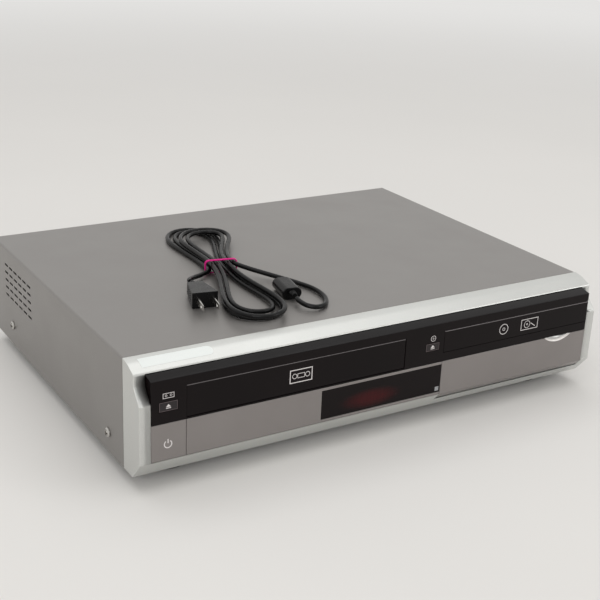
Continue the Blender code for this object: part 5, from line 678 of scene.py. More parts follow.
def curve_tube(name, points, radius):
    made = bpy.data.curves.new(name, "CURVE")
    made.dimensions = "3D"
    made.bevel_depth = radius
    made.bevel_resolution = 4
    made.use_fill_caps = True
    spline = made.splines.new("POLY")
    spline.points.add(len(points) - 1)
    for knot, point in zip(spline.points, points):
        knot.co = (*point, 1)
    spline.use_smooth = True
    piece = bpy.data.objects.new(name, made)
    bpy.context.scene.collection.objects.link(piece)
    return piece


def lay(piece, along, across, lift):
    """Turns a piece made about the front face's origin with the hank, and moves it to its place there."""
    return put(piece, hank_place(along, across, lift), Matrix.Rotation(-HANK_TURN, 4, "Z"))


def make_lead():
    route = lead_route()
    lead = dress(curve_tube("lead_sheath", route, LEAD / 2), PVC, "mains_lead", "rubber_black")
    make_plug()
    make_coupler()
    make_tie()


def make_plug():
    """Two-blade plug: a tapered grip with finger ribs, and a ribbed neck over the lead."""
    grip = block("plug_grip", (-10.5, -15, -6.5), (10.5, 15, 6.5))
    squeeze(grip, lambda c, n: n.y > 0.9, (0.62, 1, 0.72), (0, 15, 0))
    for side in (-1, 1):
        pick(grip, lambda c, n: n.x * side > 0.9)
        bpy.ops.mesh.subdivide(number_cuts=6)
        done()
        inset(grip, lambda c, n: n.x * side > 0.9 and abs(c.z) < 3.6 and abs(c.y) < 12, 0.35, -0.45, True)
    soften(grip, 0.9, 3, 35)
    neck = lathe("plug_neck", ((1.9, -1.5), (3.2, -1.5), (3.2, 1.2), (2.7, 1.4), (2.7, 2.2), (3.1, 2.4),
        (3.1, 3.4), (2.6, 3.6), (2.6, 4.4), (2.9, 4.6), (2.9, 5.6), (2.4, 5.8), (2.4, 6.6), (2.7, 6.8),
        (2.7, 8.2), (2.1, 8.9)), (0, 15, 0), "y", 32)
    grip = together([grip, soften(neck, 0.15)])
    blade = block("plug_blades", (-7.1, -32, -3.15), (-5.6, -14.4, 3.15))
    squeeze(blade, lambda c, n: n.y < -0.9, (0.5, 1, 0.72), (-6.35, -32, 0))
    cut(blade, bar("blade_hole", (-6.35, -27.5, 0), "x", 4, 1.5, 20))
    soften(blade, 0.2)
    blades = together([blade, copied(blade, x=12.7)])
    for piece in (grip, blades):
        lay(piece, *PLUG_AT, 6.5 * MM - LEAD / 2)
    dress(blades, NICKEL, slot="chrome")
    return dress(grip, PVC, "mains_plug", "rubber_black")


def make_coupler():
    """Oval two-hole coupler that pushes onto the player's inlet, with a ribbed neck."""
    grip = widened(bar("coupler_grip", (0, 0, 0), "y", 26, 5), 0, 3.25)
    drill(grip, [(-4.3, 9, 0), (4.3, 9, 0)], "y", 12, 1.3)
    soften(grip, 0.7, 3, 50)
    neck = lathe("coupler_neck", ((1.9, -1.2), (3.2, -1.2), (3.2, 0.8), (2.6, 1.0), (2.6, 1.7), (3.0, 1.9),
        (3.0, 2.8), (2.5, 3.0), (2.5, 3.7), (2.8, 3.9), (2.8, 5.2), (2.1, 5.9)), (0, -13, 0), "-y", 32)
    grip = together([grip, soften(neck, 0.15)])
    lay(grip, *COUPLER_AT, 5 * MM - LEAD / 2)
    return dress(grip, PVC, "lead_coupler", "rubber_black")


def make_tie():
    """Plastic-covered wire, wound twice round the hank's waist with its ends tucked under."""
    corner = LEAD / 2 + 1.1 * MM
    side = PITCH / 2 + PITCH * TURNS / 2
    middle = waist_rise(0) + PITCH / 2
    ring = []
    for quarter in range(3, 11):
        across, up = ((1, 1), (-1, 1), (-1, -1), (1, -1))[quarter % 4]
        for step in range(13):
            turned = quarter + step / 12
            angle = turned * math.pi / 2
            ring.append(hank_place((turned - 7) * 0.35 * MM, across * side + corner * math.cos(angle),
                                   middle + up * PITCH / 2 + corner * math.sin(angle)))
    return dress(curve_tube("twist_tie", ring, 0.6 * MM), TIE, "lead_tie", "tie_pink")


make_lead()


# Moulded front and what is set into it

PANEL_END = 206.0
SCOOP_X = 174.5
LOW_PANELS = (26.5, 55.35)
DOOR_PIN = (5.5, 24)
FLAP_PIN = (4.4, 85.9)
EJECT_AT = (-192.6, 68.7)
OPEN_AT = (38.5, 70.2)
POWER_AT = (-192.4, 40.925)
KEYS_AT = [(64.0 + 16.0 * column, z) for z in (47.5, 34.5) for column in range(3)]
JACKS_AT = [(124.0 + 14.5 * number, 36.5) for number in range(3)]


def make_front_shell():
    """Painted moulding: a round-shouldered band on top, a cheek at each end, a pocket for the panels."""
    side = [(28.8, 98.5), (21.7, 97.49), (18.6, 96.5), (15.6, 95.2), (12.6, 94.0), (10.7, 93.3), (9.9, 92.5),
        (9.6, 90.8), (9.5, 86.0), (9.3, 84.1), (8.4, 82.1), (6.2, 79.2), (2.65, 75.25), (0, 72.0), (0, 26.2),
        (12.8, 11), (28.8, 11)]
    shell = soften(drawn("front_shell", side, -SIDE, SIDE), 0.5, 3, 25)
    pocket = block("pocket", (-206.3, -2, 26.2), (206.3, 12.5, 92.0))
    cavity = block("cavity", (-212.5, 15, 9), (212.5, 31, 91.6))
    recess = block("hinge_recess", (49.3, -2, 19.6), (206.3, 9.6, 28.2))
    drill(cut(shell, pocket, cavity, recess), [(49.6, *DOOR_PIN), (PANEL_END, *DOOR_PIN)], "x", 5.6, 1.2)
    mouths = [(-178.7, 12.0, 56.6, 84.4), (58.0, 198.0, 62.5, 81.1), (-49.2, 11.2, 27.6, 47.5),
              (JACKS_AT[0][0] - 7.3, JACKS_AT[-1][0] + 7.3, 29.2, 43.8), (163.2, 191.8, 42.4, 47.6)]
    mouths += [(x - 2.8, x + 2.8, z - 2.8, z + 2.8) for x, z in (EJECT_AT, OPEN_AT, POWER_AT)]
    mouths += [(x - 4.8, x + 4.8, z - 2.6, z + 2.6) for x, z in KEYS_AT]
    for left, right, low, high in mouths:
        cut(shell, block("mouth", (left, 11.9, low), (right, 15.6, high)))
    chamfer(shell, lambda c, w: c.y < 0.1 and abs(c.z - 26.2) < 0.1 and abs(w.x) > 0.9, 0.4, 2)
    even(shell, 35)
    dress(shell, FRONT_PAINT, "front_moulding", "silver_plastic")


def make_upper_fascia():
    """Gloss black panel with a sloped crown, and mouths for the flap, the tray front and two keys."""
    crown = [(0, 55.65), (0, 89.5), (9.5, 91.5), (12.2, 91.5), (12.2, 55.65)]
    inside = [(2.2, 56.6), (2.2, 87.3), (9.5, 89.3), (14.2, 89.3), (14.2, 56.6)]
    panel = soften(drawn("upper_fascia", crown, -PANEL_END, PANEL_END), 0.35, 3)
    cut(panel, drawn("hollow", inside, -203.8, 203.8))
    for left, right in ((-180.5, -178.5), (11.8, 13.8)):
        fuse(panel, block("lug", (left, 1.6, 82.9), (right, 7.2, 88.9)))
    drill(panel, [(-178.2, *FLAP_PIN), (11.5, *FLAP_PIN)], "x", 8.6, 1.2)
    for left, low, right, back, high in (
            (-178.5, 56.8, 11.8, 2.8, 82.4), (EJECT_AT[0] - 7.4, 64.8, EJECT_AT[0] + 7.4, 2.8, 72.6),
            (OPEN_AT[0] - 6.8, 66.7, OPEN_AT[0] + 6.8, 2.8, 73.7), (49.6, 63.1, 208, 11.6, 82.3)):
        cut(panel, block("mouth", (left, -2, low), (right, back, high)))
    even(panel, 35)
    dress(panel, BLACK_GLOSS, "upper_panel", "gloss_black")


def make_flap():
    """Cassette flap on two arms, with a fine bead along its top edge that later takes a painted highlight."""
    flap = block("cassette_flap_face", (-178.2, 0.4, 57.1), (11.5, 2.2, 82.1))
    chamfer(flap, lambda c, w: c.y < 1 and c.z > 82 and abs(w.x) > 0.9, 0.7, 3)
    soften(flap, 0.3, 3)
    parts = [flap]
    for end, inward in ((-178.2, 1), (11.5, -1)):
        left, right = sorted((end, end + inward * 2))
        arm = block("flap_arm", (left, 1.6, 78.1), (right, 5.4, 86.9))
        cut(arm, block("arm_step", (left - 1, 0, 82.1), (right + 1, 3.2, 88)))
        parts.append(soften(arm, 0.25))
        parts.append(soften(bar("flap_pin", (end - inward * 0.5, *FLAP_PIN), "x", 4, 0.9, 24), 0.15))
    dress(together(parts), BLACK_GLOSS, "cassette_flap", "gloss_black", "flap")


def make_tray_front():
    """Hollow gloss bar clipped to the tray, its top front edge eased as the flap's is and later given the same
    painted highlight.
    """
    front = block("tray_front_face", (49.9, 0, 63.4), (PANEL_END, 11.2, 82))
    chamfer(front, lambda c, w: c.y < 1 and c.z > 81.5 and abs(w.x) > 0.9, 0.7, 3)
    cut(soften(front, 0.3, 3), block("hollow", (52.1, 2.2, 65), (203.8, 13, 80.4)))
    dress(even(front), BLACK_GLOSS, "tray_front", "gloss_black", "tray")


def make_gloss_key(name, spot, wide, tall, body, node):
    """Key cap with a dished face inside a thin rim, on its stem."""
    x, z = spot
    key = block(name, (x - wide / 2, 0, z - tall / 2), (x + wide / 2, 3, z + tall / 2))
    inset(key, lambda c, n: n.y < -0.9, 0.5, -0.12)
    soften(key, 0.12)
    stem = soften(block("stem", (x - 2.5, 2.4, z - 2.5), (x + 2.5, 16, z + 2.5)), 0.3)
    dress(together([key, stem]), KEY_BLACK, node, "gloss_black", body)


def make_power_key():
    """Broad silvered power key, a hollow cap on its stem."""
    x, z = POWER_AT
    cap = soften(block("power_key", (-PANEL_END, 0, LOW_PANELS[0]), (-178.8, 9.5, LOW_PANELS[1])), 0.3, 3)
    cut(cap, block("hollow", (-204.4, 2.2, 28.1), (-180.4, 11, 53.75)))
    stem = soften(block("stem", (x - 2.5, 1.8, z - 2.5), (x + 2.5, 16, z + 2.5)), 0.3)
    dress(together([even(cap), stem]), SILVERED, "power_button", "mirror_silver", "power")


def make_lower_fascia():
    """Silvered panel between the power key and the door, cut away at its right for the window."""
    panel = soften(block("lower_fascia", (-178.5, 0, LOW_PANELS[0]), (49.3, 12.2, LOW_PANELS[1])), 0.3, 3)
    cut(panel, block("hollow", (-176.9, 2.2, 28.1), (51, 14, 53.75)),
        block("mouth", (-64.9, -2, 28.7), (51, 2.8, 53.2)))
    dress(even(panel), SILVERED, "lower_panel", "mirror_silver")


def make_window():
    """Smoked window flush with the panel; the lit tube's red glow is painted into its finish."""
    dress(soften(block("window_pane", (-64.6, 0.1, 29.0), (49.3, 2.1, 52.9)), 0.2), SMOKE_PAINTED_GLOW, "display_window",
        "window_smoke")
    eye = lathe("remote_eye", ((2.6, 0.0), (2.6, 0.06), (2.3, 0.09)), (0, 0, 0), "-y", 4)
    put(eye, at(46.2, 0.1, 32.0), Matrix.Rotation(math.pi / 4, 4, "Y"))
    dress(even(eye), EYE_ABS)


def make_door():
    """Drop-down door: its lip follows the chamfer; it has hinge arms, pins and a thumb scoop on top."""
    high = LOW_PANELS[1]
    side = [(0, high), (0, 26.2), (3.8, 21.7), (5.3, 23.1), (2.1, 26.8), (2.1, high)]
    door = soften(drawn("door_face", side, 49.6, PANEL_END), 0.3, 3, 20)
    half, deep = 15.3, 5.0
    radius = (half ** 2 + deep ** 2) / (2 * deep)
    scoop = lathe("scoop", ((radius - 0.1, 1.4), (radius - 0.1, -0.3), (radius - 1.7, -1.3)), (0, 0, 0),
        "-y", 96)
    put(scoop, at(SCOOP_X, 0, high - deep + radius))
    cut(door, scoop)
    parts = [even(door)]
    for end, inward in ((49.6, 1), (PANEL_END, -1)):
        left, right = sorted((end, end + inward * 2))
        arm = drawn("hinge_arm", [(1.5, 30.2), (6.7, 30.2), (7.3, 24.0), (6.8, 22.7), (5.5, 22.2), (4.2, 22.7),
                                  (3.7, 24.0), (1.5, 27.0)], left, right)
        parts.append(soften(arm, 0.2))
        parts.append(soften(bar("hinge_pin", (end - inward * 0.1, *DOOR_PIN), "x", 3.3, 0.9, 24), 0.15))
    dress(together(parts), SILVERED, "control_door", "mirror_silver", "door")


def make_controls():
    """Sub-panel behind the door with its keys, three camera sockets and the card slot."""
    plate = soften(block("control_plate", (52.2, 9.7, 28.1), (203.4, 12.2, 53.75)), 0.2)
    cut(plate, *[block("key_hole", (x - 4.8, 8, z - 2.6), (x + 4.8, 14, z + 2.6)) for x, z in KEYS_AT],
        *[bar("ring_hole", (x, 11, z), "y", 6, 4.7) for x, z in JACKS_AT],
        block("card_hole", (165.0, 8, 43.5), (190.0, 14, 46.5)))
    dress(even(plate), BLACK_ABS, "control_subpanel", "dull_black")
    near, high = KEYS_AT[0]
    first = block("control_cap", (near - 4.5, 8, high - 2.3), (near + 4.5, 16, high + 2.3))
    inset(first, lambda c, n: n.y < -0.9, 0.9)
    soften(first, 0.5, 3)
    for number, (x, z) in enumerate(KEYS_AT, 1):
        key = copied(first, x - near, 0, z - high, f"control_cap_{number}")
        dress(key, KEY_PAINT, f"control_key_{number}", "silver_plastic", f"key_{number}")
    clear(first)
    left, right = JACKS_AT[0][0] - 7, JACKS_AT[-1][0] + 7
    body = soften(block("camera_socket_block", (left, 12.5, 29.5), (right, 16.9, 43.5)), 0.3)
    ring, core = [even(lathe(name, profile, (0, 8.4, 0), "-y", 40)) for name, profile in (
        ("socket_ring", ((4.4, -4.4), (4.4, 0.0), (3.9, 0.4), (3.5, 0.4), (3.3, 0.0), (3.3, -2.6))),
        ("socket_core", ((3.2, -2.4), (3.2, 0.1), (2.9, 0.3), (1.9, 0.3), (1.7, 0.1), (1.7, -2.3))))]
    for (x, z), name in zip(JACKS_AT, ("yellow", "white", "red")):
        cut(body, bar("bore", (x, 14, z), "y", 4, 1.7, 24))
        dress(copied(ring, x, 0, z, f"camera_ring_{name}"), NICKEL, slot="chrome")
        dress(copied(core, x, 0, z, f"camera_core_{name}"), INSULATORS[name])
    clear(ring, core)
    dress(even(body), BLACK_ABS, "front_av_sockets", "dull_black")
    card = soften(block("card_cage", (163.5, 12.5, 42.7), (191.5, 43.2, 47.3)), 0.3)
    cut(card, block("card_mouth", (165.3, 10, 43.8), (189.7, 34.2, 46.2)))
    dress(even(card), ZINC, "card_slot", "plain_steel")


make_front_shell()
make_upper_fascia()
make_flap()
make_tray_front()
make_gloss_key("cassette_eject_key", EJECT_AT, 14.2, 7.2, "eject", "vhs_eject_button")
make_gloss_key("disc_open_key", OPEN_AT, 13.0, 6.4, "open_button", "disc_open_button")
make_power_key()
make_lower_fascia()
make_window()
make_door()
make_controls()


# Cover, base, feet, screws and the back

VENTS = [(226 + 12 * column, 54 + 7 * row) for column in range(6) for row in range(5)]
SIDE_SCREWS = ((56.5, 27.1), (277.7, 30.1))
REAR_SCREWS = ((-155, 94.3), (155, 94.3))
FAN_AT = (-20, 57)
FAN_REACH = 28
REAR_FACE = 324.6


def make_cover():
    """Folded cover: one sheet bent round the sides and roof, its slots cut with rounded ends."""
    outer = [(-SIDE, 11)] + [(-213 - 2 * math.cos(a), 96.5 + 2 * math.sin(a)) for a in (0, 0.4, 0.8, 1.2, 1.57)]
    outer += [(-x, z) for x, z in reversed(outer)]
    inner = [(x * 214 / 215, z - 1) for x, z in outer]
    inner[0], inner[-1] = (-214, 11), (214, 11)
    shell = drawn("cover_shell", outer + inner[::-1], 29.1, 325.6, "y")
    fuse(shell, block("lip", (-213, REAR_FACE, 90.5), (213, 325.6, 98)))
    soften(shell, 0.25, 2, 50)
    slots = []
    for side in (-SIDE, SIDE):
        for y, z in VENTS:
            slots.append(rounded("slot", (side - 2, y, z), (side + 2, y + 9, z + 2), "x", 0.9, 3))
    cut(shell, together(slots))
    drill(shell, [(side, y, z) for side in (-SIDE, SIDE) for y, z in SIDE_SCREWS], "x", 4, 1.8)
    drill(shell, [(x, 325, z) for x, z in REAR_SCREWS], "y", 4, 1.8)
    dress(even(shell, 30), COVER_PAINT, "top_cover", "silver_steel")


def make_screws():
    """One dome-headed screw with a cross recess, copied to its six places."""
    screw = lathe("screw", ((1.2, -7), (1.5, -6.4), (1.5, 0), (3.8, 0), (3.8, 0.8), (3.3, 1.4), (2.5, 1.8),
        (1.9, 1.95), (1.0, 2.15)), (0, 0, 0), sides=40)
    for long, wide in ((2.6, 0.7), (0.7, 2.6)):
        cut(screw, block("cross", (-long, -wide, 0.9), (long, wide, 3)))
    even(screw, 30)
    places = [(f"rear_screw_{side}", (x, 325.9, z), -1, "X")
              for side, (x, z) in zip(("left", "right"), REAR_SCREWS)]
    for side, way in (("left", -1), ("right", 1)):
        for end, (y, z) in zip(("front", "rear"), SIDE_SCREWS):
            places.append((f"cover_screw_{side}_{end}", (way * 215.3, y, z), way, "Y"))
    for node, place, way, about in places:
        turn = Matrix.Rotation(way * math.pi / 2, 4, about)
        dress(put(copied(screw, name=f"{node}_head"), at(*place), turn), NICKEL, node, "chrome")
    clear(screw)


def make_feet():
    """One turned foot with a ribbed rim and a fixing screw up its middle, copied to the four corners."""
    foot = even(lathe("foot", ((8, 3), (8, 0.3), (8.4, 0), (18.2, 0), (19.4, 0.6), (20.2, 1.6), (20.8, 2.6),
                               (20.8, 4.0), (20.2, 4.3), (20.2, 4.9), (20.8, 5.2), (20.8, 6.4), (20.2, 6.7),
                               (20.2, 7.2), (20.8, 7.5), (20.8, 8.2), (18.5, 10.7)), (0, 0, 0), sides=72), 35)
    head = even(lathe("foot_screw", ((1.0, 1.2), (1.2, 1.0), (3.2, 1.2), (3.8, 1.8), (3.9, 2.9)), (0, 0, 0),
                      sides=32), 30)
    for end, y in (("front", 48), ("rear", 280)):
        for side, x in (("left", -175), ("right", 175)):
            pad = copied(foot, x, y, 0, f"foot_pad_{end}_{side}")
            dress(pad, RUBBER, f"foot_{end}_{side}", "rubber_black")
            dress(copied(head, x, y, 0, f"foot_bolt_{end}_{side}"), NICKEL, slot="chrome")
    clear(foot, head)


def make_rear_sheet():
    """Back sheet with the fan's grille and a window for each socket block."""
    sheet = soften(block("rear_sheet", (-213.7, 323.3, 11.3), (213.7, 324.3, 96.2)), 0.15)
    tools = []
    for row in range(9):
        above = (row - 4) * 5.6
        reach, z = math.sqrt(FAN_REACH ** 2 - above ** 2), FAN_AT[1] + above
        for left, right in ((-reach, -2), (2, reach)):
            tools.append(rounded("slot", (FAN_AT[0] + left, 321, z - 1.8), (FAN_AT[0] + right, 327, z + 1.8),
                                 "y", 1.2, 3))
    cut(sheet, together(tools))
    for left, low, right, high in ((169, 58, 195, 88), (35, 24.5, 147, 72.5), (-192.5, 34, -167.5, 50)):
        cut(sheet, block("window", (left - 0.3, 321, low - 0.3), (right + 0.3, 327, high + 0.3)))
    drill(sheet, [(x, 324, z) for x, z in REAR_SCREWS], "y", 6, 1.8)
    for x in (-140, -110, -80, 22):
        for z in (20, 88):
            dimple = lathe("dimple", ((3.2, -0.6), (3.2, 0.0), (2.4, 0.5)), (x, 324.2, z), "y", 24)
            fuse(sheet, soften(dimple, 0.1))
    dress(even(sheet, 30), ZINC, "rear_panel", "plain_steel")


def make_rear_sockets():
    """Black block with fifteen ringed sockets by colour, and two flat digital ports."""
    body = soften(block("socket_body", (35, 308.6, 24.5), (147, REAR_FACE, 72.5)), 0.5)
    for low in (29.5, 62.5):
        cut(body, block("port", (129.85, 318.6, low), (144.85, 330, low + 5)))
        shell = soften(block("port_shell", (130.15, 319, low + 0.3), (144.55, 325.2, low + 4.7)), 0.2)
        cut(shell, block("port_mouth", (130.75, 320, low + 0.9), (143.95, 330, low + 4.1)))
        tongue = soften(block("port_tongue", (132.5, 319.5, low + 2.1), (142.2, 324.4, low + 2.9)), 0.1)
        dress(even(shell), NICKEL, slot="chrome")
        dress(tongue, BLACK_ABS)
    dress(even(body), BLACK_ABS, "rear_av_sockets", "dull_black")
    ring = even(lathe("ring", ((6.2, -0.4), (6.2, 0.5), (5.9, 0.8), (4.4, 0.8), (4.3, 1.0), (4.3, 6.3),
        (3.9, 6.9), (3.5, 6.9), (3.3, 6.6), (3.3, 3.5)), (0, REAR_FACE, 0), "y", 40))
    core = even(lathe("core", ((3.2, 2.0), (3.2, 6.1), (2.9, 6.4), (1.9, 6.4), (1.7, 6.2), (1.7, 1.8),
        (0.9, 1.4)), (0, REAR_FACE, 0), "y", 40))
    shades = (("yellow", "yellow", "yellow"), ("white", "white", "white"), ("red", "red", "red"),
              ("green", "blue", "red"), ("white", "red", "yellow"))
    rings, cores = [], {}
    for column, names in enumerate(shades):
        for row, name in enumerate(names):
            x, z = 35 + (column + 0.5) * 17 + 4.3, 24.5 + (row + 0.5) * 14.5 + 2.15
            rings.append(copied(ring, x, 0, z, "socket_rings"))
            cores.setdefault(name, []).append(copied(core, x, 0, z, f"socket_cores_{name}"))
    dress(together(rings), NICKEL, slot="chrome")
    for name, pieces in cores.items():
        dress(together(pieces), INSULATORS[name])
    clear(ring, core)


def make_aerial_sockets():
    """Screened can with two threaded aerial sockets."""
    can = soften(block("aerial_can", (169, 298.6, 58), (195, REAR_FACE, 88)), 0.5)
    dress(can, ZINC, "aerial_sockets", "plain_steel")
    profile = [(5.6, -0.5), (5.6, 0.9), (4.5, 1.0), (4.1, 1.2)]
    for turn in range(14):
        profile += [(4.65, 1.5 + turn * 0.8), (4.1, 1.9 + turn * 0.8)]
    profile += [(4.1, 12.8), (3.9, 13.2), (3.1, 13.2), (2.9, 12.8), (2.9, 9.5)]
    heart = ((2.85, 9.0), (2.85, 11.8), (1.3, 12.0), (1.1, 11.6), (0.6, 10))
    for name, outline, sides, material in (("aerial_threads", profile, 40, NICKEL),
                                           ("aerial_hearts", heart, 32, INSULATORS["white"])):
        piece = even(lathe(name, outline, (182, REAR_FACE, 65.5), "y", sides), 25)
        dress(together([piece, copied(piece, z=15)]), material)


def make_inlet():
    """Two-pin mains inlet: a flanged block with an oval recess."""
    flange = rounded("inlet_flange", (-195.5, REAR_FACE, 31), (-164.5, 326.6, 53), "y", 2, 4)
    body = fuse(flange, block("inlet_body", (-192.5, 307, 34), (-167.5, 325.2, 50)))
    soften(body, 0.3, 2, 40)
    cut(body, widened(bar("inlet_mouth", (-180, 321.4, 42), "y", 14.5, 4.4), -180, 4.3))
    dress(even(body, 30), BLACK_ABS, "mains_inlet", "dull_black")
    pin = soften(bar("inlet_pins", (-184.3, 318.4, 42), "y", 9.6, 1.2, 24), 0.4, 3)
    dress(together([pin, copied(pin, x=8.6)]), NICKEL, slot="chrome")


def make_fan():
    """Square fan frame with rounded corners and four fixing holes, and a rotor of seven swept blades."""
    x, z = FAN_AT
    case = soften(rounded("fan_case", (x - 30, 308, z - 30), (x + 30, 323, z + 30), "y", 4, 4), 0.4, 2, 40)
    drill(case, [(x, 315, z)], "y", 20, FAN_REACH, 80)
    drill(case, [(x + a, 315, z + b) for a in (-25, 25) for b in (-25, 25)], "y", 20, 2.1)
    for long, tall in ((28.6, 2.4), (2.4, 28.6)):
        fuse(case, block("spoke", (x - long, 308, z - tall), (x + long, 309, z + tall)))
    fuse(case, bar("pin", (x, 315.5, z), "y", 13.5, 1.4, 24))
    dress(even(case, 35), BLACK_ABS, "fan_frame", "dull_black")
    hub = lathe("fan_hub", ((1.9, 0.0), (11.4, 0.0), (12, 0.6), (12, 11.9), (11.2, 12.7), (1.9, 12.7),
        (1.9, 0.2)), (x, 309.3, z), "y", 56)
    blades = [even(hub, 30)]
    root, tip, half = 11.6, 26, 5.6
    for number in range(7):
        blade = block("blade", (root, -0.55, -half), (tip, 0.55, half))
        edit(blade)
        bpy.ops.mesh.subdivide(number_cuts=5)
        done()
        for point in blade.data.vertices:
            place = point.co - at(0, 0, 0)
            lean = math.radians(48 - 14 * (place.x / MM - root) / (tip - root))
            sine, cosine = math.sin(lean), math.cos(lean)
            up, flat = place.z, place.y + 1.6 * MM * (place.z / (half * MM)) ** 2
            point.co = (place.x, up * cosine * 0.95 + flat * sine, up * sine - flat * cosine)
        turn = Matrix.Rotation(number * math.tau / 7, 4, "Y")
        blade.data.transform(Matrix.Translation(at(x, 315.65, z)) @ turn)
        edit(blade)
        bpy.ops.mesh.normals_make_consistent(inside=False)
        done()
        blades.append(even(blade, 50))
    dress(together(blades, "fan_blades"), BLACK_ABS, "fan_rotor", "dull_black", "fan")


make_cover()
make_screws()
make_feet()
make_rear_sheet()
make_rear_sockets()
make_aerial_sockets()
make_inlet()
make_fan()


# Tape deck, disc drive, boards and hard disk

REELS_X = (-129.35, -37.35)
TRAY_X = 128.0
DISC_Y = 88.0
PINION_X = 76.3
DRUM_AT = (-83.35, 180.0, 52.0)
DRUM_LEAN = math.radians(5.9)
RACK_PITCH = 3.14159
BOARD_TOP = 23.6
# left, front, width and length in mm, and each part's kind, place and size as shares, and height in mm
MAIN_BOARD = (-85, 230, 288, 85, (
    ("chip", 0.28, 0.12, 0.12, 0.34, 2.4), ("chip", 0.46, 0.14, 0.10, 0.30, 2.4),
    ("fins", 0.62, 0.10, 0.14, 0.36, 16.5), ("can", 0.82, 0.14, 0.05, 0.16, 15),
    ("can", 0.90, 0.14, 0.04, 0.14, 12), ("chip", 0.10, 0.10, 0.10, 0.30, 2.4)))
POWER_BOARD = (-206, 230, 112, 72, (
    ("coil", 0.36, 0.30, 0.34, 0.46, 27), ("can", 0.76, 0.34, 0.18, 0.28, 30),
    ("can", 0.78, 0.70, 0.10, 0.16, 18), ("can", 0.10, 0.12, 0.16, 0.24, 16.5),
    ("plate", 0.36, 0.08, 0.40, 0.05, 25.5)))


def make_reels():
    """Reel table with a knurled rim and a hub with three wings, copied for the take-up side."""
    table = lathe("reel", ((1.8, 0), (5.5, 0), (5.5, 1.5), (20.2, 1.5), (20.9, 1.9), (20.9, 2.9), (20.3, 3.3),
                           (17.5, 3.3), (17.0, 2.9), (9, 2.9), (8.6, 3.3), (5.5, 3.5), (5.4, 9.6), (3.4, 15.0),
                           (2.6, 15.5), (1.8, 15.5), (1.8, 0)), (0, 0, 0), sides=60)
    pieces = [even(table, 30)]
    for number in range(3):
        wing = block("wing", (4.8, -0.6, 3.2), (7.5, 0.6, 9.8))
        squeeze(wing, lambda c, n: n.z > 0.9, (0.45, 1, 1), (4.8, 0, 9.8))
        pieces.append(put(soften(wing, 0.25), at(0, 0, 0), Matrix.Rotation(number * math.tau / 3, 4, "Z")))
    reel = together(pieces)
    for name, x in zip(("supply_reel", "takeup_reel"), REELS_X):
        dress(copied(reel, x, 88, 34.5, f"{name}_table"), ACETAL, name, "white_plastic", name.split("_")[0])
    clear(reel)


def make_drum():
    """Polished lower drum on its cast foot, and the spinning upper drum with two heads at its rim."""
    x, y, z = DRUM_AT
    spot, lean = at(x, y, z), Matrix.Rotation(DRUM_LEAN, 4, "Y")
    lower = lathe("drum_lower", ((3.3, 0), (30.6, 0), (31, -0.3), (31, -5), (30.7, -5.3), (30.7, -6.3),
        (31, -6.6), (31, -13.4), (30.6, -13.8), (3.3, -13.8), (3.3, 0)), (0, 0, 0), sides=96)
    put(lower, spot, lean)
    foot = soften(block("drum_foot", (x - 34, y - 34, 34.5), (x + 34, y + 34, 40.5)), 0.8, 3)
    dress(together([even(lower, 25), foot]), ALLOY, "drum_base", "aluminium")
    upper = lathe("drum_upper", ((3, -6.9), (3, 0.3), (30.7, 0.3), (31, 0.6), (31, 14.4), (29.8, 16),
        (26, 16), (25.4, 15.4), (14, 15.4), (13.4, 16), (5, 16), (4.4, 15.6), (1, 15.6)), (0, 0, 0),
        sides=96)
    for left, right in ((-30.9, -29.9), (27.9, 34.4)):
        cut(upper, block("head_slot", (left, -2.2, 0), (right, 2.2, 1.4)))
    put(upper, spot, lean)
    dress(even(upper, 25), NICKEL, "head_drum", "chrome", "drum")


def make_tray():
    """Disc tray with two stepped wells, an open slot over the spindle and the rack."""
    tray = soften(block("disc_tray_deck", (61, 2.5, 65.3), (195, 192.5, 70.3)), 0.5, 3)
    for top, low, radius in ((71, 68.3, 60.75), (71, 67.1, 40.8)):
        well = bar("well", (TRAY_X, DISC_Y, (top + low) / 2), "z", top - low, radius, 128)
        squeeze(well, lambda c, n: n.z < -0.9, (0.985, 0.985, 1), (TRAY_X, DISC_Y, low))
        cut(tray, well)
    cut(tray, bar("eye", (TRAY_X, DISC_Y, 68), "z", 10, 19.5, 72),
        block("slot", (TRAY_X - 19.5, DISC_Y, 60), (TRAY_X + 19.5, 200, 75)))
    rack = block("rack", (64.5, 11.5, 63.7), (68, 192.5, 65.9))
    gap = soften(block("gap", (67, 12.6, 63), (69, 14.1, 65.1)), 0.3, 1)
    cut(rack, together([copied(gap, y=RACK_PITCH * number) for number in range(57)]))
    clear(gap)
    dress(together([even(tray, 30), even(rack)]), BLACK_ABS, "disc_tray", "dull_black", "tray")


def make_pinion():
    """Moulded pinion with sixteen rounded teeth and a hub web."""
    x = PINION_X
    outline = []
    for tooth in range(16):
        for share, radius in ((-0.36, 6.8), (-0.2, 6.95), (-0.13, 7.9), (0, 8.0), (0.13, 7.9), (0.2, 6.95),
                              (0.36, 6.8)):
            angle = (tooth + share) * math.tau / 16
            outline.append((x + radius * math.cos(angle), 32 + radius * math.sin(angle)))
    gear = drawn("tray_gear", outline, 61.0, 65.0, "z")
    cut(gear, bar("bore", (x, 32, 63), "z", 8, 1.5, 24), bar("web", (x, 32, 65.2), "z", 2, 5.4, 40))
    hub = lathe("hub", ((1.5, 0), (2.7, 0), (2.7, 0.9), (2.5, 1.1), (1.5, 1.1), (1.5, 0)), (x, 32, 63.9),
        sides=24)
    dress(together([even(gear, 35), even(hub, 35)]), ACETAL, "tray_pinion", "white_plastic", "pinion")


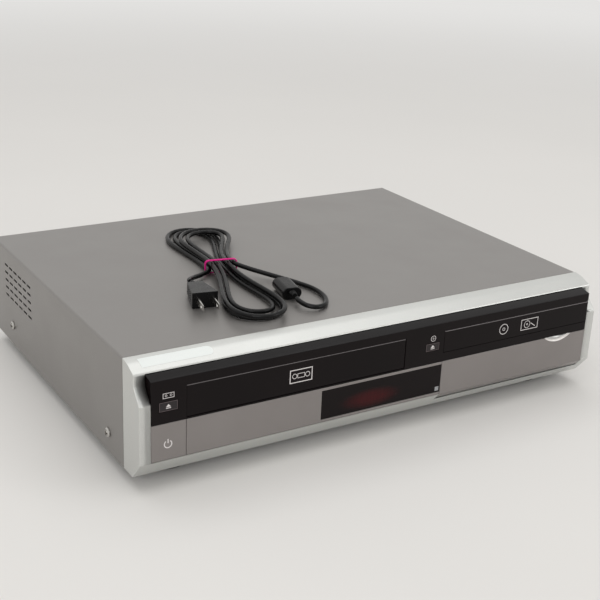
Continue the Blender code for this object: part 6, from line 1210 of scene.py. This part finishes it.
def make_pickup():
    """Cast pickup body on its two rails, stepped down behind the lens."""
    body = soften(block("pickup_body", (TRAY_X - 33, 108, 59.8), (TRAY_X + 33, 132, 64.6)), 0.5, 3)
    drill(body, [(TRAY_X + side, 120, 62.2) for side in (-28, 28)], "y", 30, 1.5)
    cut(body, block("step", (TRAY_X - 22, 124, 63.4), (TRAY_X + 22, 134, 66)))
    dress(even(body, 30), ALLOY, "optical_pickup", "aluminium", "pickup")


def make_turned():
    """Capstan on its lightened flywheel, turntable with its cone hub, magnetic clamp, lens in its seat."""
    turned("capstan_wheel", ((2, 0), (19.4, 0), (20, 0.6), (20, 7.4), (19.4, 8), (16.4, 8), (15.8, 6.9),
        (7.2, 6.9), (6.6, 8), (1.6, 8), (1.4, 8.3), (1.4, 37.6), (1.1, 38)), (-22, 168, 24), 72, 25, ALLOY,
        "capstan_flywheel", "aluminium", "capstan")
    turned("spindle_table", ((1.2, -5.1), (1.5, -4.8), (1.5, 0), (14.4, 0), (15, 0.5), (15, 1.9),
        (14.6, 2.2), (11, 2.2), (10.6, 1.9), (7.9, 1.9), (7.3, 2.3), (6.9, 3.2), (4.2, 4.6), (1.5, 4.6),
        (1.2, 4.3)), (TRAY_X, DISC_Y, 65.7), 64, 30, BLACK_ABS, "drive_spindle", "dull_black", "spindle")
    turned("clamp_puck", ((1.2, 1.1), (3.4, 1.1), (4.0, 1.4), (18.6, 1.4), (19, 1.0), (19, 0.3), (18.7, 0),
        (14, 0), (14, -10.4), (13.6, -10.8), (7.8, -10.8), (7.6, -10.6), (7.6, -8.4), (1.2, -8.4)),
        (TRAY_X, DISC_Y, 85.3), 72, 30, ACETAL, "disc_clamp", "white_plastic", "clamp")
    spot = (TRAY_X, 117, 64.6)
    turned("lens_seat", ((5.6, -0.3), (5.6, 0.4), (5.2, 0.7), (4.0, 0.7), (3.6, 0.3)), spot, 48, 30,
        BLACK_ABS, body="pickup")
    turned("lens_glass", ((3.5, 0.2), (3.5, 0.6), (3.0, 0.85), (2.2, 1.05), (1.2, 1.16), (0.4, 1.2)), spot,
        48, 60, LENS, body="pickup")


def make_hard_disk():
    """Cast hard disk with a stepped lid, its screws, a plain label and side holes."""
    case = soften(block("disk_case", (62, 48, 28), (163.6, 195, 51.1)), 1.2, 3)
    lid = rounded("disk_cover", (65, 51, 50.5), (160.6, 192, 54.1), "z", 6, 4)
    pick(lid, lambda c, n: n.z > 0.9)
    bpy.ops.mesh.inset(thickness=3.2 * MM, depth=0)
    bpy.ops.mesh.inset(thickness=0.8 * MM, depth=-0.7 * MM)
    done()
    soften(lid, 0.2)
    drill(case, [(side, y, 34.3) for side in (62, 163.6) for y in (77, 119, 179)], "x", 8, 1.6, 20)
    dress(together([even(case, 30), lid]), ALLOY, "hard_disk", "aluminium")
    dress(rounded("disk_label", (84, 74, 53.3), (142, 150, 53.5), "z", 2, 3), PAPER)
    screw = even(lathe("disk_screw", ((2.3, -0.4), (2.3, 0.0), (1.3, 0.0), (1.2, -0.3)), (0, 0, 0),
        sides=24), 30)
    screws = [copied(screw, x, y, 53.4, "disk_screws") for x in (73.5, 152) for y in (60, 121, 183)]
    dress(together(screws), NICKEL)
    clear(screw)


def standing_part(kind, low, high):
    """One part on a board, and the key of the finish it takes."""
    size, middle = high - low, (low + high) / 2
    if kind == "chip":
        apart = 2.4
        starts = [low.x + 1.8 + step * apart for step in range(int((size.x - 3.6) / apart) + 1)]
        legs = [block("leg", (x, low.y, low.z), (x + 0.8, high.y, low.z + 0.8)) for x in starts]
        body = block("chip", low + Vector((1.2, 1.2, 0.4)), high - Vector((1.2, 1.2, 0)))
        return {"black": soften(body, 0.4), "bright": even(together(legs))}
    if kind == "can":
        radius = min(size.x, size.y) / 2 - 0.2
        profile = [(radius * share, height) for share, height in (
            (0.9, 0), (0.9, 0.5), (1, 0.8), (1, 2.2), (0.93, 2.7), (1, 3.2), (1, size.z - 0.6), (0.95, size.z),
            (0.8, size.z), (0.76, size.z - 0.4))]
        return {"grey": even(lathe("can", profile, (middle.x, middle.y, low.z), sides=36), 30)}
    if kind == "coil":
        quarter = Vector((0, size.y / 4, 0))
        aside = Vector((size.x * 0.18, 0, 0))
        lower = Vector((0, 0, size.z * 0.12))
        return {"black": soften(block("core", low + quarter, high - quarter), 0.5),
                "copper": soften(block("winding", low + aside, high - aside - lower), 2.5, 4)}
    deep = size.z * 0.2 if kind == "fins" else size.z
    back = size.y if kind == "fins" else 1.6
    pieces = [soften(block("plate", low, low + Vector((size.x, back, deep))), 0.2)]
    for step in range(int(size.x / 4.5) + 1):
        near = low + Vector((min(step * 4.5, size.x - 1.2), 0, 0))
        pieces.append(soften(block("fin", near, near + Vector((1.2, size.y, size.z))), 0.2))
    return {"bright": together(pieces)}


def make_board(node, name, left, front, wide, long, parts):
    """Board under solder mask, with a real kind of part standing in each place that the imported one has."""
    plate = soften(block(f"{name}_plate", (left, front, 22), (left + wide, front + long, BOARD_TOP)), 0.15)
    corners = [(left + a, front + b, 22.8) for a in (3.5, wide - 3.5) for b in (3.5, long - 3.5)]
    drill(plate, corners, "z", 4, 1.6, 20)
    dress(even(plate), BOARD, node, "board_green")
    made = {}
    for kind, x, y, part_wide, part_long, tall in parts:
        low = Vector((left + x * wide, front + y * long, BOARD_TOP))
        high = low + Vector((part_wide * wide, part_long * long, tall - 0.6))
        for look, piece in standing_part(kind, low, high).items():
            made.setdefault(look, []).append(piece)
    for look, material in (("black", BLACK_ABS), ("grey", GREY_ABS), ("copper", COPPER), ("bright", ALLOY)):
        if look in made:
            dress(together(made[look], f"{name}_{look}_parts"), material)


def dress_copies():
    """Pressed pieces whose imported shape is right: merged back into whole faces, edges broken, finished."""
    for node, name, width, material, slot, body in (
            ("vhs_deck_chassis", "deck_plate", 0.15, ZINC, "plain_steel", "player"),
            ("cassette_carriage", "cassette_cage", 0.2, ZINC, "plain_steel", "carriage"),
            ("drive_housing", "drive_tunnel", 0.15, ZINC, "plain_steel", "player"),
            ("pickup_traverse", "drive_frame", 0.15, ZINC, "plain_steel", "player"),
            ("display_tube", "display_glass", 0.1, TUBE, "tube_glass", "player")):
        piece = copied(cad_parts[node], name=name)
        for key in list(piece.keys()):
            del piece[key]
        edit(piece)
        bpy.ops.mesh.remove_doubles(threshold=0.02 * MM)
        bpy.ops.mesh.dissolve_limited(angle_limit=math.radians(1))
        done()
        dress(soften(piece, width, 2, 40), material, node, slot, body)


make_reels()
make_drum()
make_tray()
make_pinion()
make_pickup()
make_turned()
make_hard_disk()
make_board("main_board", "signal_board", *MAIN_BOARD)
make_board("power_board", "supply_board", *POWER_BOARD)
dress_copies()


# Printed marks, painted highlights and a painted reflection on edges, and the plain label on the band

def edge_finish(piece_name, material, test):
    """Gives the faces of a finished piece that pass the test a second finish."""
    piece = bpy.data.objects[piece_name]
    piece.data.materials.append(material)
    for face in piece.data.polygons:
        middle = face.center / MM - Vector((0, FRONT, 0))
        if test(middle, face.normal):
            face.material_index = len(piece.data.materials) - 1


def strip(points, y, width, name, closed):
    """A printed line 0.05 mm thick along points on an upright face, mitred at its turns."""
    path = [Vector(point) for point in points + points[:1] * closed]
    upper, lower = [], []
    for number, point in enumerate(path):
        before = path[number - 1] if number else path[-2] if closed else point
        after = path[number + 1] if number + 1 < len(path) else path[1] if closed else point
        ways = [way.normalized() for way in (point - before, after - point) if way.length]
        way = sum(ways, Vector((0, 0))).normalized()
        across = Vector((-way.y, way.x)) * width / 2 / max(0.5, way.dot(ways[0]))
        upper.append(tuple(point + across))
        lower.append(tuple(point - across))
    return drawn(name, upper + lower[::-1], y - 0.05, y, "y")


# an arc of more degrees than this is joined up into a ring
OPEN_ARC = 300


def printed(name, x, z, y, material, body, *lines):
    """A pictogram about a point: lines of ink, each by its path, its width and the path's values."""
    pieces = []
    for path, width, *values in lines:
        if path == "arc":
            aside, above, radius, start, end, steps = values
            angles = [math.radians(start + (end - start) * step / steps) for step in range(steps + 1)]
            points = [(x + aside + radius * math.cos(a), z + above + radius * math.sin(a)) for a in angles]
        elif path == "box":
            left, low, right, high = values
            points = [(x + a, z + b) for a, b in ((left, low), (right, low), (right, high), (left, high))]
        else:
            points = [(x + a, z + b) for a, b in values]
        closed = path == "box" or path == "arc" and end - start > OPEN_ARC
        pieces.append(strip(points, y, width, path, closed))
    dress(together(pieces, name), material, body=body)


def make_marks():
    """Pictograms in white ink, each where the photograph has words, and a grey rim round two keys."""
    for name, (x, z), wide, tall, body in (("cassette", EJECT_AT, 6.85, 3.35, "eject"),
                                           ("disc", OPEN_AT, 6.25, 2.95, "open_button")):
        roof = drawn("sign", [(x - 1.9, z - 0.5), (x + 1.9, z - 0.5), (x, z + 1.7)], 0.04, 0.2, "y")
        floor = block("sign", (x - 1.9, 0.04, z - 1.7), (x + 1.9, 0.2, z - 1.1))
        dress(together([roof, floor], f"{name}_eject_sign"), WHITE_INK, body=body)
        printed(f"{name}_key_rim", x, z, 0.06, GREY_INK, body, ("box", 0.3, -wide, -tall, wide, tall))
    printed("cassette_legend", EJECT_AT[0], 77.0, 0.0, WHITE_INK, "player", ("box", 0.4, -4.2, -1.7, 4.2,
        1.9), ("arc", 0.3, -1.9, 0.2, 0.75, 0, 345, 10), ("arc", 0.3, 1.9, 0.2, 0.75, 0, 345, 10))
    printed("disc_legend", OPEN_AT[0], 77.6, 0.0, WHITE_INK, "player", ("arc", 0.4, 0, 0, 2.3, 0, 350, 22),
            ("arc", 0.3, 0, 0, 0.65, 0, 340, 10))
    printed("power_sign", POWER_AT[0] - 0.6, 39.0, 0.0, WHITE_INK, "power",
            ("arc", 0.8, 0, 0, 2.9, 125, 415, 20), ("line", 0.8, (0, 0.7), (0, 4.0)))
    printed("cassette_emblem", -84.0, 70.2, 0.4, WHITE_INK, "flap", ("box", 0.7, -9.5, -5.0, 9.5, 5.2),
            ("box", 0.4, -3.0, -1.5, 3.0, 1.9), ("arc", 0.45, -5.6, 0.2, 1.9, 0, 350, 18),
            ("arc", 0.45, 5.6, 0.2, 1.9, 0, 350, 18))
    printed("disc_emblem", 112.0, 72.6, 0.0, WHITE_INK, "tray", ("arc", 0.55, 0, 0, 4.4, 0, 352, 40),
            ("arc", 0.45, 0, 0, 1.2, 0, 340, 14))
    printed("disk_emblem", 140.0, 72.6, 0.0, WHITE_INK, "tray", ("box", 0.55, -9.0, -4.6, 9.0, 4.6),
            ("arc", 0.45, -2.6, 0, 3.1, 0, 350, 30), ("arc", 0.4, -2.6, 0, 0.7, 0, 340, 10),
            ("line", 0.6, (6.4, -2.9), (1.4, 0.6)))


def make_label():
    """Plain paper label with a rounded right end, laid down over the band's curve at its left."""
    sheet = block("band_label", (-206, 14.6, 90), (-149, 23.6, 90.1))
    chamfer(sheet, lambda c, w: c.x > -150 and abs(w.z) > 0.9, 4.2, 8)
    for line in range(7):
        edit(sheet)
        bpy.ops.mesh.bisect(plane_co=at(0, 16.1 + line, 90), plane_no=(0, 1, 0))
        done()
    curve = ((12.6, 94.0), (15.6, 95.2), (18.6, 96.5), (21.7, 97.49), (28.8, 98.5))
    for point in sheet.data.vertices:
        y = point.co.y / MM - FRONT
        for (near, low), (far, high) in zip(curve, curve[1:]):
            if near <= y < far:
                point.co.z += (low + (high - low) * (y - near) / (far - near) + 0.04 - 90) * MM
    dress(even(sheet), PAPER)


def paint_edge_light():
    """Painted highlights on the flap's, tray front's and thumb scoop's edges, a painted reflection on the
    crown, and the scoop's floor in the keys' silver.
    """
    # painted highlight along the top edges of the flap and the tray front
    for name in ("cassette_flap_face", "tray_front_face"):
        edge_finish(name, BLACK_PAINTED_HIGHLIGHT, lambda c, n: c.z > 81.2 and c.y < 1.2 and n.z > 0.25 and n.y < -0.2)
    # painted reflection on the crown's upward faces
    edge_finish("upper_fascia", BLACK_PAINTED_REFLECTION, lambda c, n: c.z > 88.8 and n.z > 0.2)
    # painted highlight on the thumb scoop's walls; the scoop's floor takes the keys' silver
    for finish_of, near, far, level in ((SILVER_PAINTED_HIGHLIGHT, 0.02, 1.28, False), (KEY_PAINT, 1.25, 1.4, True)):
        edge_finish("door_face", finish_of, lambda c, n: (
            abs(c.x - SCOOP_X) < 16 and c.z > 49 and near < c.y < far and (n.y < -0.97) == level))


make_marks()
make_label()
paint_edge_light()


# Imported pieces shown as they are, each with its own finish

for shown, look in (("base_pan", ZINC), ("front_board", BOARD)):
    coat(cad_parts[shown], look)


bpy.context.scene.view_settings.view_transform = "Standard"
